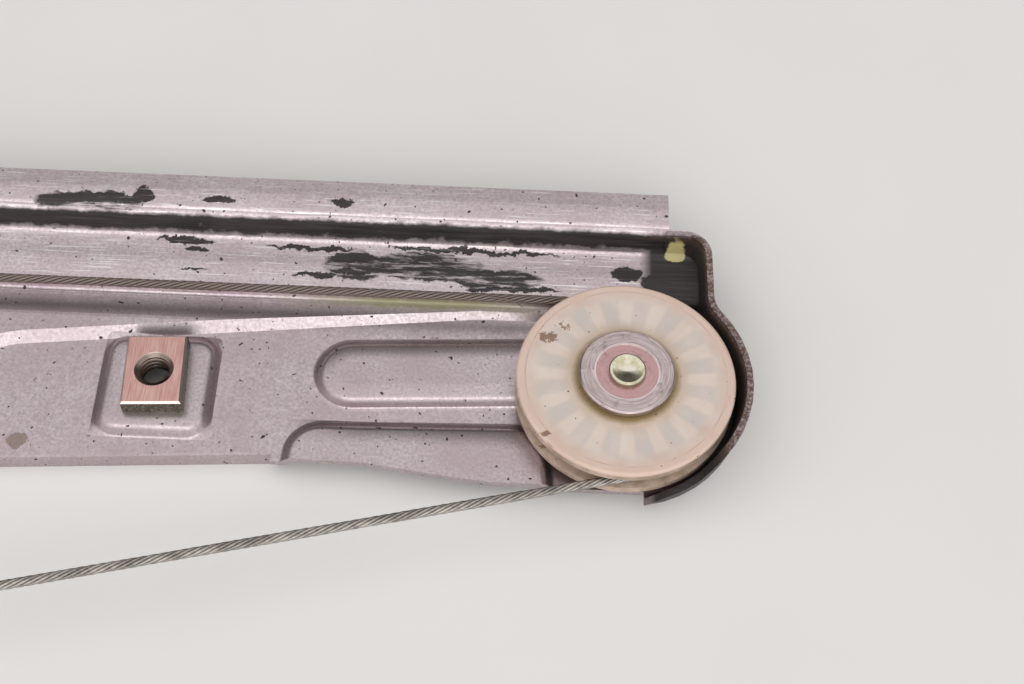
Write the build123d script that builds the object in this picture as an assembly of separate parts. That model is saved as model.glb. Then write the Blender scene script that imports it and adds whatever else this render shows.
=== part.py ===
from build123d import *
import os
from math import acos, atan2, cos, degrees, hypot, radians, sin, tan

os.makedirs("parts", exist_ok=True)

# Single-rail cable window regulator, supplied without its motor.
# Frame: origin on the drum axis at the motor face, +X up the rail, +Y towards
# the guide lip, +Z out of the rail on the side that carries drum and pulleys.
# All sizes in millimetres.

# --- layout ---------------------------------------------------------------
pulley_span = 480.0          # between the two pulley axes
drum_offset = 51.0           # pulley line above the drum axis
carrier_travel = 360.0       # stroke of the glass carrier
running_gap = 0.3            # between bodies that pass each other
bore_gap = 0.05              # radial play of a journal
joint_play = 0.1             # added where a gap runs along a bend

# --- sheet stamping -------------------------------------------------------
sheet = 1.2                  # rail material
crest_height = 1.6           # middle land above the end pockets
root_drop = 0.6              # fall of the land towards the cable
floor_height = 3.4           # channel floor above the pockets
lip_height = 5.2             # guide lip above the channel floor
lip_width = 8.1
lip_bend = 2.4               # outside radius where the wall turns into the lip
channel_root = 1.8           # radius between channel floor and wall
channel_edge = 1.5           # radius along the cable side of the channel floor
floor_width = 10.3
floor_edge = 17.4            # channel floor edge from the pulley line
floor_flank = 0.6            # run of the step up to the channel floor
wall_lean = 0.3              # run of the wall up to the lip
crest_edge = 11.5            # where the land starts to fall towards the cable
root_edge = 15.8             # and where it lies flat again
land_bend = 4.0              # radius at both
flange_reach = 2.0           # turned-down lower flange, below the motor face
lower_edge = 12.0            # rail's lower edge from the pulley line, at its ends
edge_taper = 5.9             # the rail is this much deeper at its shoulders
shoulder_x = 88.0
shoulder_radius = 8.0
throat_radius = 30.0
lip_overrun = 7.5            # lip end past the pulley axis
middle_land = 50.0           # from the pulley axis to the full width of the rail
toe_zone = 55.0              # and to the land that carries the toe
bead_height = 1.3
bead_half_width = 6.5
bead_rise = 4.0              # bead centre above the pulley line
bead_run = 44.0
bead_tilt = 3.0              # degrees
bead_throat = 3.0
pulley_seat = 9.0
toe_top = (-12.0, -5.2)      # the toe's upper corners from the pulley axis
toe_back = (-53.5, -6.4)
toe_spread = 5.0             # how much longer the toe is at the lower edge
toe_radius = 6.0
pocket_back = -112.0         # blind end of the end pockets, from the pulley axis
pocket_back_top = 6.4
pocket_top_start = -24.0     # from here on the pocket has its full height
pocket_top_line = 16.2
pocket_corner = 15.0
foot_line = [                # lower edge between rail and cup, as sheared
    (-56.0, -13.5), (-41.0, -13.8), (-28.5, -15.5), (-21.0, -16.3),
]
flank_draft = 45.0           # pressed flanks, from vertical
bend_radius = 1.6            # outside radius of pressed edges
foot_bend = 0.8              # inside radius at the foot of a pressed form
foot_spread = 1.6            # that bend lies within this of the form
drum_plate_radius = 42.5
drum_pocket_radius = 39.0

# --- cup round the pulley -------------------------------------------------
cup_gap = 1.7                # rim to pulley
cup_lean = 9.0               # degrees, wall leaning outwards
cup_bend = 1.0               # inside radius at the foot of the wall
cup_wall_height = 8.2        # rim above the pocket
cup_side = 13.6              # flat end wall past the pulley axis
cup_corner = 3.5             # bend from that wall to the channel wall
cup_neck = 6.0               # bend from that wall to the round of the cup
cup_start = 3.3              # where the wall begins below the pulley
rim_fall = 4.8               # the rim drops by this much towards that end
rim_fall_start = 16.5        # between these two places
rim_fall_end = 11.5
rim_fall_bend = 4.0
rim_toe_length = 3.2
rim_toe_fall = 0.6
rim_toe_bend = 2.0

# --- cable, pulleys, drum -------------------------------------------------
cable_diameter = 1.5
cable_play = 0.2             # cable in a groove, each side
pulley_radius = 17.5
pulley_thickness = 6.2
pulley_pitch = 15.9          # cable centre on the pulley
pulley_face_web = 1.2
pulley_edge = 0.5            # rounding of the rims
pulley_hub_wall = 1.2
groove_wall = 1.4            # between groove and rib windows
groove_flare = 0.6
pulley_ribs = 16
rib_thickness = 2.0
bush_radius = 5.0
bush_flange_radius = 7.6
bush_flange = 1.4
bush_recess_radius = 5.1
bush_recess = 0.25
rivet_shank = 2.5
rivet_crown = 2.95
rivet_crown_height = 0.9
rivet_mark_rim = 0.5         # flat round the centre mark
rivet_mark_floor = 0.15      # crown left under it
rivet_head_radius = 5.5
rivet_head = 1.4
drum_pitch = 22.0            # cable centre on the drum
drum_rim = 23.4
drum_base = 2.0              # underside of the drum
drum_height = 9.5
groove_pitch = 2.5
first_groove = 4.75          # height of the lower cable's groove
drum_grooves = 3
drum_wrap = 250.0            # degrees of cable shown on the drum
cable_lead = 4.0             # level run where a cable leaves pulley and drum
cable_bend = 300.0           # radius between that run and the slope
hub_radius = 9.5
socket_radius = 5.2          # drive socket for the motor shaft
socket_depth = 9.0
socket_splines = 6
spline_height = 0.8
spline_width = 1.0
journal_radius = 5.0
nipple_radius = 1.6
nipple_ring = 17.3
nipple_angles = (33.0, 147.0)
nipple_well = 4.0
nipple_sink = 0.2
spigot_low = 0.0             # lower end of the drum's hub, at the motor face
washer_radius = 20.0
washer_play = 0.5
washer_gap = 0.1
journal_length = 3.2
web_radius = 14.5            # wells between hub and cable rim, with spokes across
web_depth = 5.0
web_spokes = 6
spoke_width = 1.8

# --- drum housing ---------------------------------------------------------
housing_wall = 2.0
housing_clear = 0.8
housing_top = 2.0
housing_rib = 1.0
housing_rib_width = 1.6
housing_edge = 1.5
roof_gap = 0.4
mouth_width = 3.2
mouth_play = 1.8             # above and below the two cables
motor_bolt_circle = 62.0
motor_insert_bore = 2.1
motor_insert_flat = 3.3      # half across the flats
motor_insert_length = 8.2    # from the motor face
motor_boss_radius = 5.5
motor_boss_height = 8.5
housing_rivet_ring = 32.0
housing_rivet_shank = 1.7
housing_rivet_flare = 2.5
flare_depth = 0.8
housing_rivet_head = 3.6
housing_rivet_crown = 1.2
housing_ear = 3.0
housing_ribs = 9
journal_wall = 3.0
ear_root_radius = 5.0
ear_tip_radius = 4.0
motor_angles = (30.0, 150.0, 270.0)
housing_rivet_angles = (90.0, 350.0, 190.0)
drum_hole = 12.0

# --- weld nut -------------------------------------------------------------
nut_length = 12.6
nut_width = 9.6
nut_height = 3.0
nut_bore = 2.5               # M6 thread, minor radius
nut_mouth = 3.15
nut_pilot = 4.0
nut_edge = 0.35
nut_station = 75.4           # from the pulley axis
nut_skew = 3.0               # degrees, as clinched
pad_length = 19.0
pad_width = 18.8
pad_corner = 4.0
pad_drop = 0.7               # pad centre below the pulley line

# --- carrier --------------------------------------------------------------
shoe_length = 64.0
shoe_wrap = 3.8              # shoe material round the lip
shoe_top = 14.0
shoe_edge = 1.2
shoe_cable_wall = 3.6        # shoe material beside the cable
shoe_step = 18.0             # where the shoe dips into the channel
shoe_underside = 0.6         # shoe below the cable's centre line
ferrule_radius = 2.0
ferrule_length = 8.0
ferrule_inner = 6.0          # ferrule's inner end from mid carrier
spring_length = 10.0
spring_wire = 0.5
spring_turns = 6
spring_play = 0.1
carrier_plate = 1.5
glass_gap = 4.4
pad_thickness = 1.5
jaw_thickness = 3.1
jaw_low = 11.0               # jaw limits across the rail, from the pulley line
jaw_high = 41.0
jaw_reach = 30.0             # jaw tip from mid carrier
foot_back = -18.0
glass_stop = 4.0             # glass edge rests here
clamp_screw = 3.0            # M6 shank radius
clamp_nut_height = 5.0
clamp_nut_play = 0.3
clamp_hexagon = 5.0          # half across the flats, screw and nut
clamp_head = 4.0
clamp_flange = 1.2
clamp_flange_radius = 6.6
screw_start = 0.4            # screw tip above the nut's seat
nut_room = 6.0
screw_x = -7.0
screw_y = 20.5
jaw_peg = 2.5
jaw_peg_y = 35.0
peg_inset = 7.0              # shoe pegs and rivets from the ends of the shoe
peg_lines = (17.0, 36.0)
peg_radius = 2.5
shoe_rivet = 2.0
shoe_rivet_grip = 3.4
shoe_rivet_head = 4.0
shoe_rivet_crown = 1.4
plate_corner = 4.0
plate_border = 4.0           # plate past the jaw on each side
plate_inset = 1.0            # plate short of the shoe at each end
jaw_chamfer = 3.0
pad_border = 1.0
stop_length = 8.0
stop_width = 6.0
stop_height = 4.5
stop_corner = 1.5
stop_peg = 1.8
stop_button = 1.2            # height and overhang of the button below the rail
stop_inset = 0.3             # towards the cable from mid channel

# --- dependent levels and places -------------------------------------------
pocket_top = sheet
crest_top = pocket_top + crest_height
root_top = crest_top - root_drop
floor_top = pocket_top + floor_height
lip_top = floor_top + lip_height
rim_top = pocket_top + cup_wall_height
bead_top = pocket_top + bead_height
wall_y = floor_edge + floor_width
lip_edge = wall_y + lip_width
half_span = pulley_span / 2
cup_radius = pulley_radius + cup_gap
pulley_base = bead_top + running_gap + joint_play
pulley_top = pulley_base + pulley_thickness
cable_level = (pulley_base + pulley_top) / 2
cable_radius = cable_diameter / 2
peg_x = shoe_length / 2 - peg_inset
stop_x = -(carrier_travel + shoe_length + stop_length) / 2 - running_gap
stop_y = drum_offset + floor_edge + floor_width / 2 - stop_inset
drum_to_pulley = hypot(half_span, drum_offset)
cable_angle = degrees(atan2(drum_offset, half_span) - acos((drum_pitch - pulley_pitch) / drum_to_pulley))
die_depth = 20.0             # the stamping dies reach this far down
outside = 60.0               # past every edge of the rail's ends
reach = half_span + outside


def at_end(shape):
    """Place a shape drawn about the pulley axis at the upper end of the rail."""
    return Pos(half_span, drum_offset) * shape


def both_ends(shape):
    """A shape at the upper end and its mirror image at the lower end."""
    upper = at_end(shape)
    return [upper, mirror(upper, about=Plane.YZ)]


def band(x_low, x_high, y_low, y_high):
    """A rectangle given by its limits."""
    centre = Pos((x_low + x_high) / 2, (y_low + y_high) / 2)
    return centre * Rectangle(x_high - x_low, y_high - y_low)


def rise(outline, z_low, height, draft=0.0):
    """Extrude a plan outline upwards, or downwards for a negative height."""
    direction = Vector(0, 0, 1 if height > 0 else -1)
    return Pos(Z=z_low) * extrude(outline, amount=abs(height), dir=direction, taper=draft)


def block(x_low, x_high, y_low, y_high, z_low, z_high):
    """A box given by its limits."""
    return rise(band(x_low, x_high, y_low, y_high), z_low, z_high - z_low)


def tube(outer, inner, z_low, z_high, x=0.0, y=0.0):
    """A plain sleeve standing on z_low."""
    return rise(Pos(x, y) * (Circle(outer) - Circle(inner)), z_low, z_high - z_low)


def disc(radius, z_low, z_high, x=0.0, y=0.0):
    """A plain round bar standing on z_low."""
    return rise(Pos(x, y) * Circle(radius), z_low, z_high - z_low)


# --- the stamping -----------------------------------------------------------
# The rail is the space between two dies. A die is drawn once, for its upper
# face, and again with shift = -sheet for the lower face: levels drop by the
# sheet and outlines close in by what the sheet takes across a drafted flank.

def flank_shift(shift, draft):
    return shift * (1 / cos(radians(draft)) - tan(radians(draft)))


def lying_at(shape, level):
    """Edges of a shape that lie flat at one level."""
    flat = [e for e in shape.edges() if abs(e.center().Z - level) < 0.01]
    return [e for e in flat if e.bounding_box().size.Z < 0.01]


def pressed_up(outline, base, height, shift):
    """A raised form on a die, on a thin skirt that takes the bend at its foot."""
    level = base + shift
    closed = offset(outline, amount=flank_shift(shift, flank_draft)) if shift else outline
    form = rise(closed, level, height, flank_draft)
    form = fillet(form.faces().sort_by(Axis.Z)[-1].edges(), bend_radius + shift)
    skirt = offset(outline, amount=foot_spread)
    form += rise(skirt, level, -1.0)
    border = Pos(Z=level) * skirt.faces()[0].outer_wire()
    foot = [e for e in lying_at(form, level) if border.distance_to(e) > 0.1]
    return fillet(foot, foot_bend - shift)


def pressed_down(outline, rim, depth, shift, draft=flank_draft):
    """The space that a pocket takes out of a die."""
    amount = -flank_shift(shift, draft)
    opened = offset(outline, amount=amount, kind=Kind.INTERSECTION) if shift else outline
    return rise(opened, rim + shift, -depth, draft)


def channel_face(shift):
    """Cross-section of cable root, channel floor, wall and lip, in the YZ plane."""
    near = crest_edge - 1.5
    far = lip_edge + 20.0
    step_foot = (floor_edge - floor_flank, root_top)
    wall_foot = (wall_y - wall_lean, floor_top)
    points = [
        (near, -die_depth), (near, crest_top), (crest_edge, crest_top), (root_edge, root_top), step_foot,
        (floor_edge, floor_top), wall_foot, (wall_y, lip_top), (far, lip_top), (far, -die_depth),
    ]
    face = make_face(Polyline(*points, close=True))
    bends = {(crest_edge, crest_top): land_bend, (root_edge, root_top): land_bend, step_foot: foot_bend,
             (floor_edge, floor_top): channel_edge, wall_foot: channel_root, (wall_y, lip_top): lip_bend}
    for corner, radius in bends.items():
        vertex = face.vertices().sort_by_distance(Vector(*corner))[0]
        face = fillet(vertex, radius)
    return offset(face, amount=shift, kind=Kind.INTERSECTION) if shift else face


def drum_plate_outline():
    """The widened middle of the rail that carries drum and motor."""
    shoulder_y = drum_offset - lower_edge - edge_taper + shoulder_radius
    circles = [Circle(drum_plate_radius)]
    circles += [Pos(side * shoulder_x, shoulder_y) * Circle(shoulder_radius) for side in (-1, 1)]
    return make_hull([edge for circle in circles for edge in circle.edges()])


def middle_outline():
    """Rail blank between the two end zones, lower flange line included."""
    land = half_span - middle_land
    end_y = drum_offset - lower_edge
    shoulder_y = end_y - edge_taper
    top = drum_offset + lower_edge
    strip = Polygon((-land, top), (-land, end_y), (-shoulder_x, shoulder_y), (shoulder_x, shoulder_y),
                    (land, end_y), (land, top), align=None)
    outline = drum_plate_outline() + strip
    throats = [v for v in outline.vertices()
               if v.Y < end_y - 1.0 and shoulder_x < abs(v.X) < shoulder_x + shoulder_radius]
    return fillet(throats, throat_radius)


def pocket_outline():
    """Sunken land that holds nut pad, bead and pulley, about the pulley axis."""
    pocket = Polygon((pocket_back, -outside), (outside, -outside), (outside, pocket_top_line),
                     (pocket_top_start, pocket_top_line), (pocket_back, pocket_back_top), align=None)
    corner = pocket.vertices().sort_by_distance(Vector(pocket_back, pocket_back_top))[0]
    return fillet(corner, pocket_corner)


def cup_outline():
    """Inner edge of the rim round the pulley and across the channel end."""
    upper = band(-outside, cup_side, 0.0, wall_y)
    upper = fillet(upper.vertices().sort_by_distance(Vector(cup_side, wall_y))[0], cup_corner)
    inside = upper + Circle(cup_radius) + band(-outside, 0.0, -cup_radius, 1.0)
    notch = Vector(cup_side, (cup_radius ** 2 - cup_side ** 2) ** 0.5)
    return fillet(inside.vertices().sort_by_distance(notch)[0], cup_neck)


def bead_outline():
    """Oblong bead that runs from beside the nut to the round pulley seat."""
    slot = SlotCenterToCenter(bead_run, 2 * bead_half_width)
    outline = Pos(-bead_run / 2, bead_rise) * Rot(Z=bead_tilt) * slot + Circle(pulley_seat)
    throats = [v for v in outline.vertices() if abs(hypot(v.X, v.Y) - pulley_seat) < 0.01]
    return fillet(throats, bead_throat)


def toe_outline():
    """Raised toe along the lower edge beside the pulley."""
    toe = Polygon((toe_back[0] - toe_spread, -outside), (toe_top[0] + toe_spread, -outside), toe_top,
                  toe_back, align=None)
    shoulders = toe.vertices().sort_by(Axis.Y)[-2:]
    return fillet(shoulders, toe_radius)


def nut_pad_outline():
    pad = RectangleRounded(pad_length, pad_width, pad_corner)
    return Pos(-nut_station, -pad_drop) * pad


def cup_space(outline, shift):
    """The leaning hollow that the end wall stands round, with a bend at its foot."""
    hollow = pressed_down(outline, rim_top, cup_wall_height, shift, cup_lean)
    return fillet(hollow.faces().sort_by(Axis.Z)[0].edges(), cup_bend - shift)


def end_wall(shift):
    """Die block outside the cup, up to the rim."""
    lower = band(cup_start, outside, -outside, lip_bend)
    upper = band(lip_overrun - 0.5, outside, 0.0, wall_y + 1.0)
    walls = rise(lower + upper, -die_depth, die_depth + rim_top + shift)
    return walls - cup_space(cup_outline(), shift)


def falling_rim():
    """What is cut off the rim where the wall runs out under the pulley."""
    high = rim_top + 1.0
    start = cup_start - 0.5
    fall_end = (rim_fall_end, rim_top - rim_fall)
    toe_end = (cup_start + rim_toe_length, fall_end[1] - rim_toe_fall)
    profile = Polyline((rim_fall_start + 1.0, high), (rim_fall_start, rim_top), fall_end, toe_end,
                       (start, pocket_top), (start, high), close=True)
    face = make_face(profile)
    for corner, radius in ((fall_end, rim_fall_bend), (toe_end, rim_toe_bend)):
        face = fillet(face.vertices().sort_by_distance(Vector(*corner))[0], radius)
    below = block(0.0, outside, -outside, -cup_radius / 2, 0.0, high)
    return extrude(Plane.XZ * face, amount=outside, dir=(0, -1, 0)) & below


def die(shift):
    """Everything under the rail's upper face, or under its lower face."""
    blank = middle_outline()
    blank = offset(blank, amount=shift) if shift else blank
    land = rise(blank, -die_depth, die_depth + crest_top + shift)
    land = fillet(land.faces().sort_by(Axis.Z)[-1].edges(), bend_radius + shift)
    toe_land = band(-toe_zone, outside, -outside, lower_edge)
    for zone in both_ends(toe_land):
        land += rise(zone, -die_depth, die_depth + crest_top + shift)
    section = Plane.YZ * Pos(drum_offset) * channel_face(shift)
    solid = land + extrude(section, amount=reach, both=True)
    for zone in both_ends(pocket_outline()):
        solid -= pressed_down(zone, crest_top, crest_height, shift)
    solid -= pressed_down(Circle(drum_pocket_radius), crest_top, crest_height, shift)
    for wall in both_ends(end_wall(shift)):
        solid += wall
    for hollow in both_ends(cup_space(Circle(cup_radius), shift)):
        solid -= hollow
    for outline in (nut_pad_outline(), bead_outline(), toe_outline()):
        for form in both_ends(pressed_up(outline, pocket_top, bead_height, shift)):
            solid += form
    return solid


def trimmed_blank():
    """Plan outline of the finished rail."""
    inner = middle_outline()
    outline = offset(inner, amount=sheet + bore_gap)
    outline += band(-half_span, half_span, drum_offset, drum_offset + lip_edge)
    outline += band(-half_span - lip_overrun, half_span + lip_overrun,
                    drum_offset + wall_y, drum_offset + lip_edge)
    start_x, start_y = foot_line[0]
    end_x = cup_start + 1.0
    foot = Polygon((start_x - 1.0, 5.0), *foot_line, (end_x, foot_line[-1][1]), (end_x, 5.0), align=None)
    standing = band(cup_start, outside, -outside, 0.0) + band(-20.0, outside, 0.0, lip_edge)
    rim = offset(cup_outline(), amount=flank_shift(sheet, cup_lean), kind=Kind.INTERSECTION) & standing
    for zone in both_ends(foot + rim):
        outline += zone
    return outline


def rail_holes():
    """Pilot, rivet, drum and motor screw holes through the sheet."""
    depth = 2 * die_depth
    tools = [disc(drum_hole, -die_depth, die_depth)]
    for hole in both_ends(Circle(rivet_shank + bore_gap)):
        tools.append(rise(hole, -die_depth, depth))
    for hole in both_ends(Pos(-nut_station) * Circle(nut_pilot + bore_gap)):
        tools.append(rise(hole, -die_depth, depth))
    for x, y in ring(motor_bolt_circle / 2, motor_angles):
        tools.append(Pos(x, y, -1.0) * insert_bar(bore_gap))
    for x, y in ring(housing_rivet_ring, housing_rivet_angles):
        tools.append(disc(housing_rivet_shank + bore_gap, -die_depth, die_depth, x, y))
        tools.append(Pos(x, y) * rivet_flare(bore_gap))
    tools.append(disc(stop_peg + bore_gap, 0.0, die_depth, stop_x, stop_y))
    return tools


def rivet_flare(clearance):
    """Countersunk lower end of a housing rivet, flush with the motor face."""
    return Cone(housing_rivet_flare + clearance, housing_rivet_shank + clearance, flare_depth,
                align=(Align.CENTER, Align.CENTER, Align.MIN))


def guide_rail():
    body = die(0.0) - die(-sheet)
    keep = rise(trimmed_blank(), -flange_reach, 2 * die_depth)
    return (body & keep) - rail_holes() - both_ends(falling_rim())


# --- fixed pieces -----------------------------------------------------------

def weld_nut():
    """Square block nut with a pilot clinched through the pad, about the pulley axis."""
    body = Rot(Z=nut_skew) * Rectangle(nut_width, nut_length)
    block_nut = rise(body, bead_top, nut_height)
    block_nut = chamfer(block_nut.faces().sort_by(Axis.Z)[-1].edges(), nut_edge)
    nut = block_nut + disc(nut_pilot, bead_top - sheet, bead_top)
    nut -= disc(nut_bore, 0.0, die_depth)
    lead = nut_mouth - nut_bore
    mouth = Cone(nut_bore, nut_mouth, lead, align=(Align.CENTER, Align.CENTER, Align.MAX))
    nut -= Pos(Z=bead_top + nut_height) * mouth
    nut -= Pos(Z=bead_top - sheet) * Rot(X=180) * mouth
    return Pos(-nut_station) * nut


def pulley():
    """Nylon pulley: closed face above, radial ribs below, round-bottomed groove."""
    bore = bush_radius + bore_gap
    wheel = tube(pulley_radius, bore, pulley_base, pulley_top)
    rims = wheel.edges().filter_by(GeomType.CIRCLE).group_by(SortBy.RADIUS)[-1]
    wheel = fillet(rims, pulley_edge)
    slack = cable_radius + cable_play
    mouth = slack + groove_flare
    trough = Pos(pulley_pitch, cable_level) * Circle(slack)
    flare = Polygon((pulley_pitch, cable_level - slack), (pulley_radius + 1.0, cable_level - mouth),
                    (pulley_radius + 1.0, cable_level + mouth), (pulley_pitch, cable_level + slack),
                    align=None)
    wheel -= revolve(Plane.XZ * (trough + flare), axis=Axis.Z)
    hub = bush_flange_radius + pulley_hub_wall
    web_rim = pulley_pitch - slack - groove_wall
    gaps = tube(web_rim, hub, pulley_base, pulley_top - pulley_face_web)
    spoke = block(hub - 1.0, web_rim + 1.0, -rib_thickness / 2, rib_thickness / 2, pulley_base, pulley_top)
    gaps -= [Rot(Z=360.0 / pulley_ribs * step) * spoke for step in range(pulley_ribs)]
    return wheel - gaps


def pulley_bush():
    """Turned steel bush whose flange keeps the pulley on."""
    flange_low = pulley_top + running_gap
    flange_high = flange_low + bush_flange
    bush = tube(bush_radius, rivet_shank + bore_gap, bead_top, flange_high)
    flange = tube(bush_flange_radius, rivet_shank + bore_gap, flange_low, flange_high)
    flange = chamfer(flange.edges().filter_by(GeomType.CIRCLE).group_by(SortBy.RADIUS)[-1], 0.25)
    bush += flange
    return bush - disc(bush_recess_radius, flange_high - bush_recess, flange_high + 1.0)


def pulley_rivet():
    """Shouldered rivet: head under the rail, peened crown with a centre mark above."""
    seat = bead_top - sheet
    crown_low = pulley_top + running_gap + bush_flange - bush_recess
    crown_high = crown_low + rivet_crown_height
    head = disc(rivet_head_radius, seat - rivet_head, seat)
    head = fillet(head.edges().group_by(Axis.Z)[0], 0.6)
    crown = disc(rivet_crown, crown_low, crown_high)
    crown = fillet(crown.edges().group_by(Axis.Z)[-1], 0.3)
    mark = Cone(0.0, rivet_crown - rivet_mark_rim, rivet_crown_height - rivet_mark_floor,
                align=(Align.CENTER, Align.CENTER, Align.MAX))
    return head + disc(rivet_shank, seat, crown_low) + crown - Pos(Z=crown_high) * mark


def cable_route(pitch_level, side):
    """Centre line of one cable: rail run, pulley wrap, open run, drum wrap."""
    pulley = Vector(half_span, drum_offset)
    outward = Vector(cos(radians(cable_angle)), sin(radians(cable_angle)))
    along = Vector(-outward.Y, outward.X) * -1
    up = Vector(0, 0, 1)
    leave = pulley + outward * pulley_pitch + up * cable_level
    meet = outward * drum_pitch + up * pitch_level
    wrap_plane = Plane(origin=pulley + up * cable_level)
    drum_plane = Plane(origin=up * pitch_level)
    rail_end = pulley + Vector(0, pulley_pitch, cable_level)
    rail_run = Line(Vector(0, rail_end.Y, rail_end.Z), rail_end)
    over = wrap_plane * CenterArc((0, 0), pulley_pitch, 90.0, cable_angle - 90.0)
    open_run = FilletPolyline(leave, leave + along * cable_lead, meet - along * cable_lead, meet,
                              radius=cable_bend)
    round_drum = drum_plane * CenterArc((0, 0), drum_pitch, cable_angle, -drum_wrap)
    route = Wire(rail_run.edges() + over.edges() + open_run.edges() + round_drum.edges())
    return route if side > 0 else route.mirror(Plane.YZ)


def cable(pitch_level, side):
    route = cable_route(pitch_level, side)
    section = Plane(origin=route @ 0, z_dir=route % 0) * Circle(cable_radius)
    return sweep(section, path=route)


def ring(radius, angles):
    """Points on a circle about the drum axis."""
    return [(radius * cos(radians(a)), radius * sin(radians(a))) for a in angles]


def housing_rivets():
    """Three rivets that hold the housing's ears to the rail."""
    top = pocket_top + housing_ear
    head = disc(housing_rivet_head, top, top + housing_rivet_crown)
    head = fillet(head.edges().group_by(Axis.Z)[-1], housing_rivet_crown / 2)
    rivet = disc(housing_rivet_shank, 0.0, top) + head + rivet_flare(0.0)
    rivets = [Pos(x, y) * rivet for x, y in ring(housing_rivet_ring, housing_rivet_angles)]
    return Compound(children=[placed.solid() for placed in rivets])


def insert_bar(clearance):
    """Hexagonal bar of a motor insert, which passes the rail and stands in its boss."""
    hexagon = RegularPolygon(motor_insert_flat + clearance, 6, major_radius=False)
    return rise(hexagon, 0.0, motor_insert_length)


def motor_inserts():
    """Three threaded hexagonal brass inserts that take the motor screws from below."""
    insert = insert_bar(0.0) - disc(motor_insert_bore, 0.0, die_depth)
    inserts = [Pos(x, y) * insert for x, y in ring(motor_bolt_circle / 2, motor_angles)]
    return Compound(children=[placed.solid() for placed in inserts])


def drum_housing():
    """Moulded cover over the drum, with bosses, ears, top ribs and two cable mouths."""
    inner = drum_rim + housing_clear
    outer = inner + housing_wall
    ceiling = drum_base + drum_height + roof_gap
    roof = ceiling + housing_top
    half_rib = housing_rib_width / 2
    shell = disc(outer, pocket_top, roof)
    shell = fillet(shell.edges().group_by(Axis.Z)[-1], housing_edge)
    rib = block(journal_radius, outer - housing_rib_width, -half_rib, half_rib, roof - 1.0,
                roof + housing_rib)
    shell += [Rot(Z=360.0 / housing_ribs * step) * rib for step in range(housing_ribs)]
    shell += disc(journal_radius + journal_wall, roof - 1.0, roof + housing_rib)
    for x, y in ring(motor_bolt_circle / 2, motor_angles):
        shell += disc(motor_boss_radius, pocket_top, pocket_top + motor_boss_height, x, y)
    for angle in housing_rivet_angles:
        root = Pos(outer - 1.0) * Circle(ear_root_radius)
        tip = Pos(housing_rivet_ring) * Circle(ear_tip_radius)
        shell += Rot(Z=angle) * rise(make_hull(root.edges() + tip.edges()), pocket_top, housing_ear)
    shell -= disc(inner, 0.0, ceiling)
    shell -= disc(journal_radius + bore_gap, 0.0, die_depth)
    for x, y in ring(motor_bolt_circle / 2, motor_angles):
        shell -= Pos(x, y) * insert_bar(bore_gap)
    for x, y in ring(housing_rivet_ring, housing_rivet_angles):
        shell -= disc(housing_rivet_shank + bore_gap, 0.0, die_depth, x, y)
    return shell - cable_mouths()


def cable_mouths():
    """Two slots in the housing wall, one on each cable's way out."""
    half = mouth_width / 2
    slot = block(-2.0, outside, -half, half, first_groove - mouth_play,
                 first_groove + groove_pitch + mouth_play)
    right = Rot(Z=cable_angle) * Pos(drum_pitch, 0.0) * Rot(Z=90.0) * slot
    return [right, mirror(right, about=Plane.YZ)]


def thrust_washer():
    return tube(washer_radius, hub_radius + washer_play, pocket_top, drum_base - washer_gap)


def down_stop():
    """Rubber stop for the carrier at the bottom of its travel."""
    low = floor_top
    under = low - sheet
    pad = RectangleRounded(stop_length, stop_width, stop_corner)
    stop = rise(Pos(stop_x, stop_y) * pad, low, stop_height)
    stop += disc(stop_peg, under, low, stop_x, stop_y)
    return stop + disc(stop_peg + stop_button, under - stop_button, under, stop_x, stop_y)


# --- drum -------------------------------------------------------------------

def drum():
    """Cable drum: ring grooves, splined socket below, journal above."""
    top = drum_base + drum_height
    body = disc(drum_rim, drum_base, top)
    body = chamfer(body.edges().filter_by(GeomType.CIRCLE), 0.4)
    slack = cable_radius + cable_play
    for turn in range(drum_grooves):
        level = first_groove + turn * groove_pitch
        trough = Pos(drum_pitch, level) * Circle(slack)
        flare = band(drum_pitch, drum_rim + 1.0, level - slack, level + slack)
        body -= revolve(Plane.XZ * (trough + flare), axis=Axis.Z)
    body += disc(hub_radius, spigot_low, drum_base + 1.0)
    body += disc(journal_radius, top - 1.0, top + journal_length)
    wells = tube(web_radius, hub_radius - 1.0, top - web_depth, top + 1.0)
    spoke = block(0.0, drum_rim, -spoke_width / 2, spoke_width / 2, top - web_depth, top + 1.0)
    body -= wells - [Rot(Z=360.0 / web_spokes * step) * spoke for step in range(web_spokes)]
    body -= disc(socket_radius, spigot_low, spigot_low + socket_depth)
    spline = block(socket_radius - 1.0, socket_radius + spline_height, -spline_width / 2, spline_width / 2,
                   spigot_low, spigot_low + socket_depth)
    body -= [Rot(Z=360.0 / socket_splines * step) * spline for step in range(socket_splines)]
    for x, y in ring(nipple_ring, nipple_angles):
        body -= disc(nipple_radius + bore_gap, top - nipple_well, top + 1.0, x, y)
    return body


def drum_nipple(angle):
    """Crimped cable end that sits in a well of the drum's top face."""
    top = drum_base + drum_height
    x, y = ring(nipple_ring, [angle])[0]
    return disc(nipple_radius, top - nipple_well, top - nipple_sink, x, y)


# --- carrier, drawn at mid travel ---------------------------------------------

def on_rail(shape):
    """Place a shape whose Y is measured from the pulley line."""
    return Pos(Y=drum_offset) * shape


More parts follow.
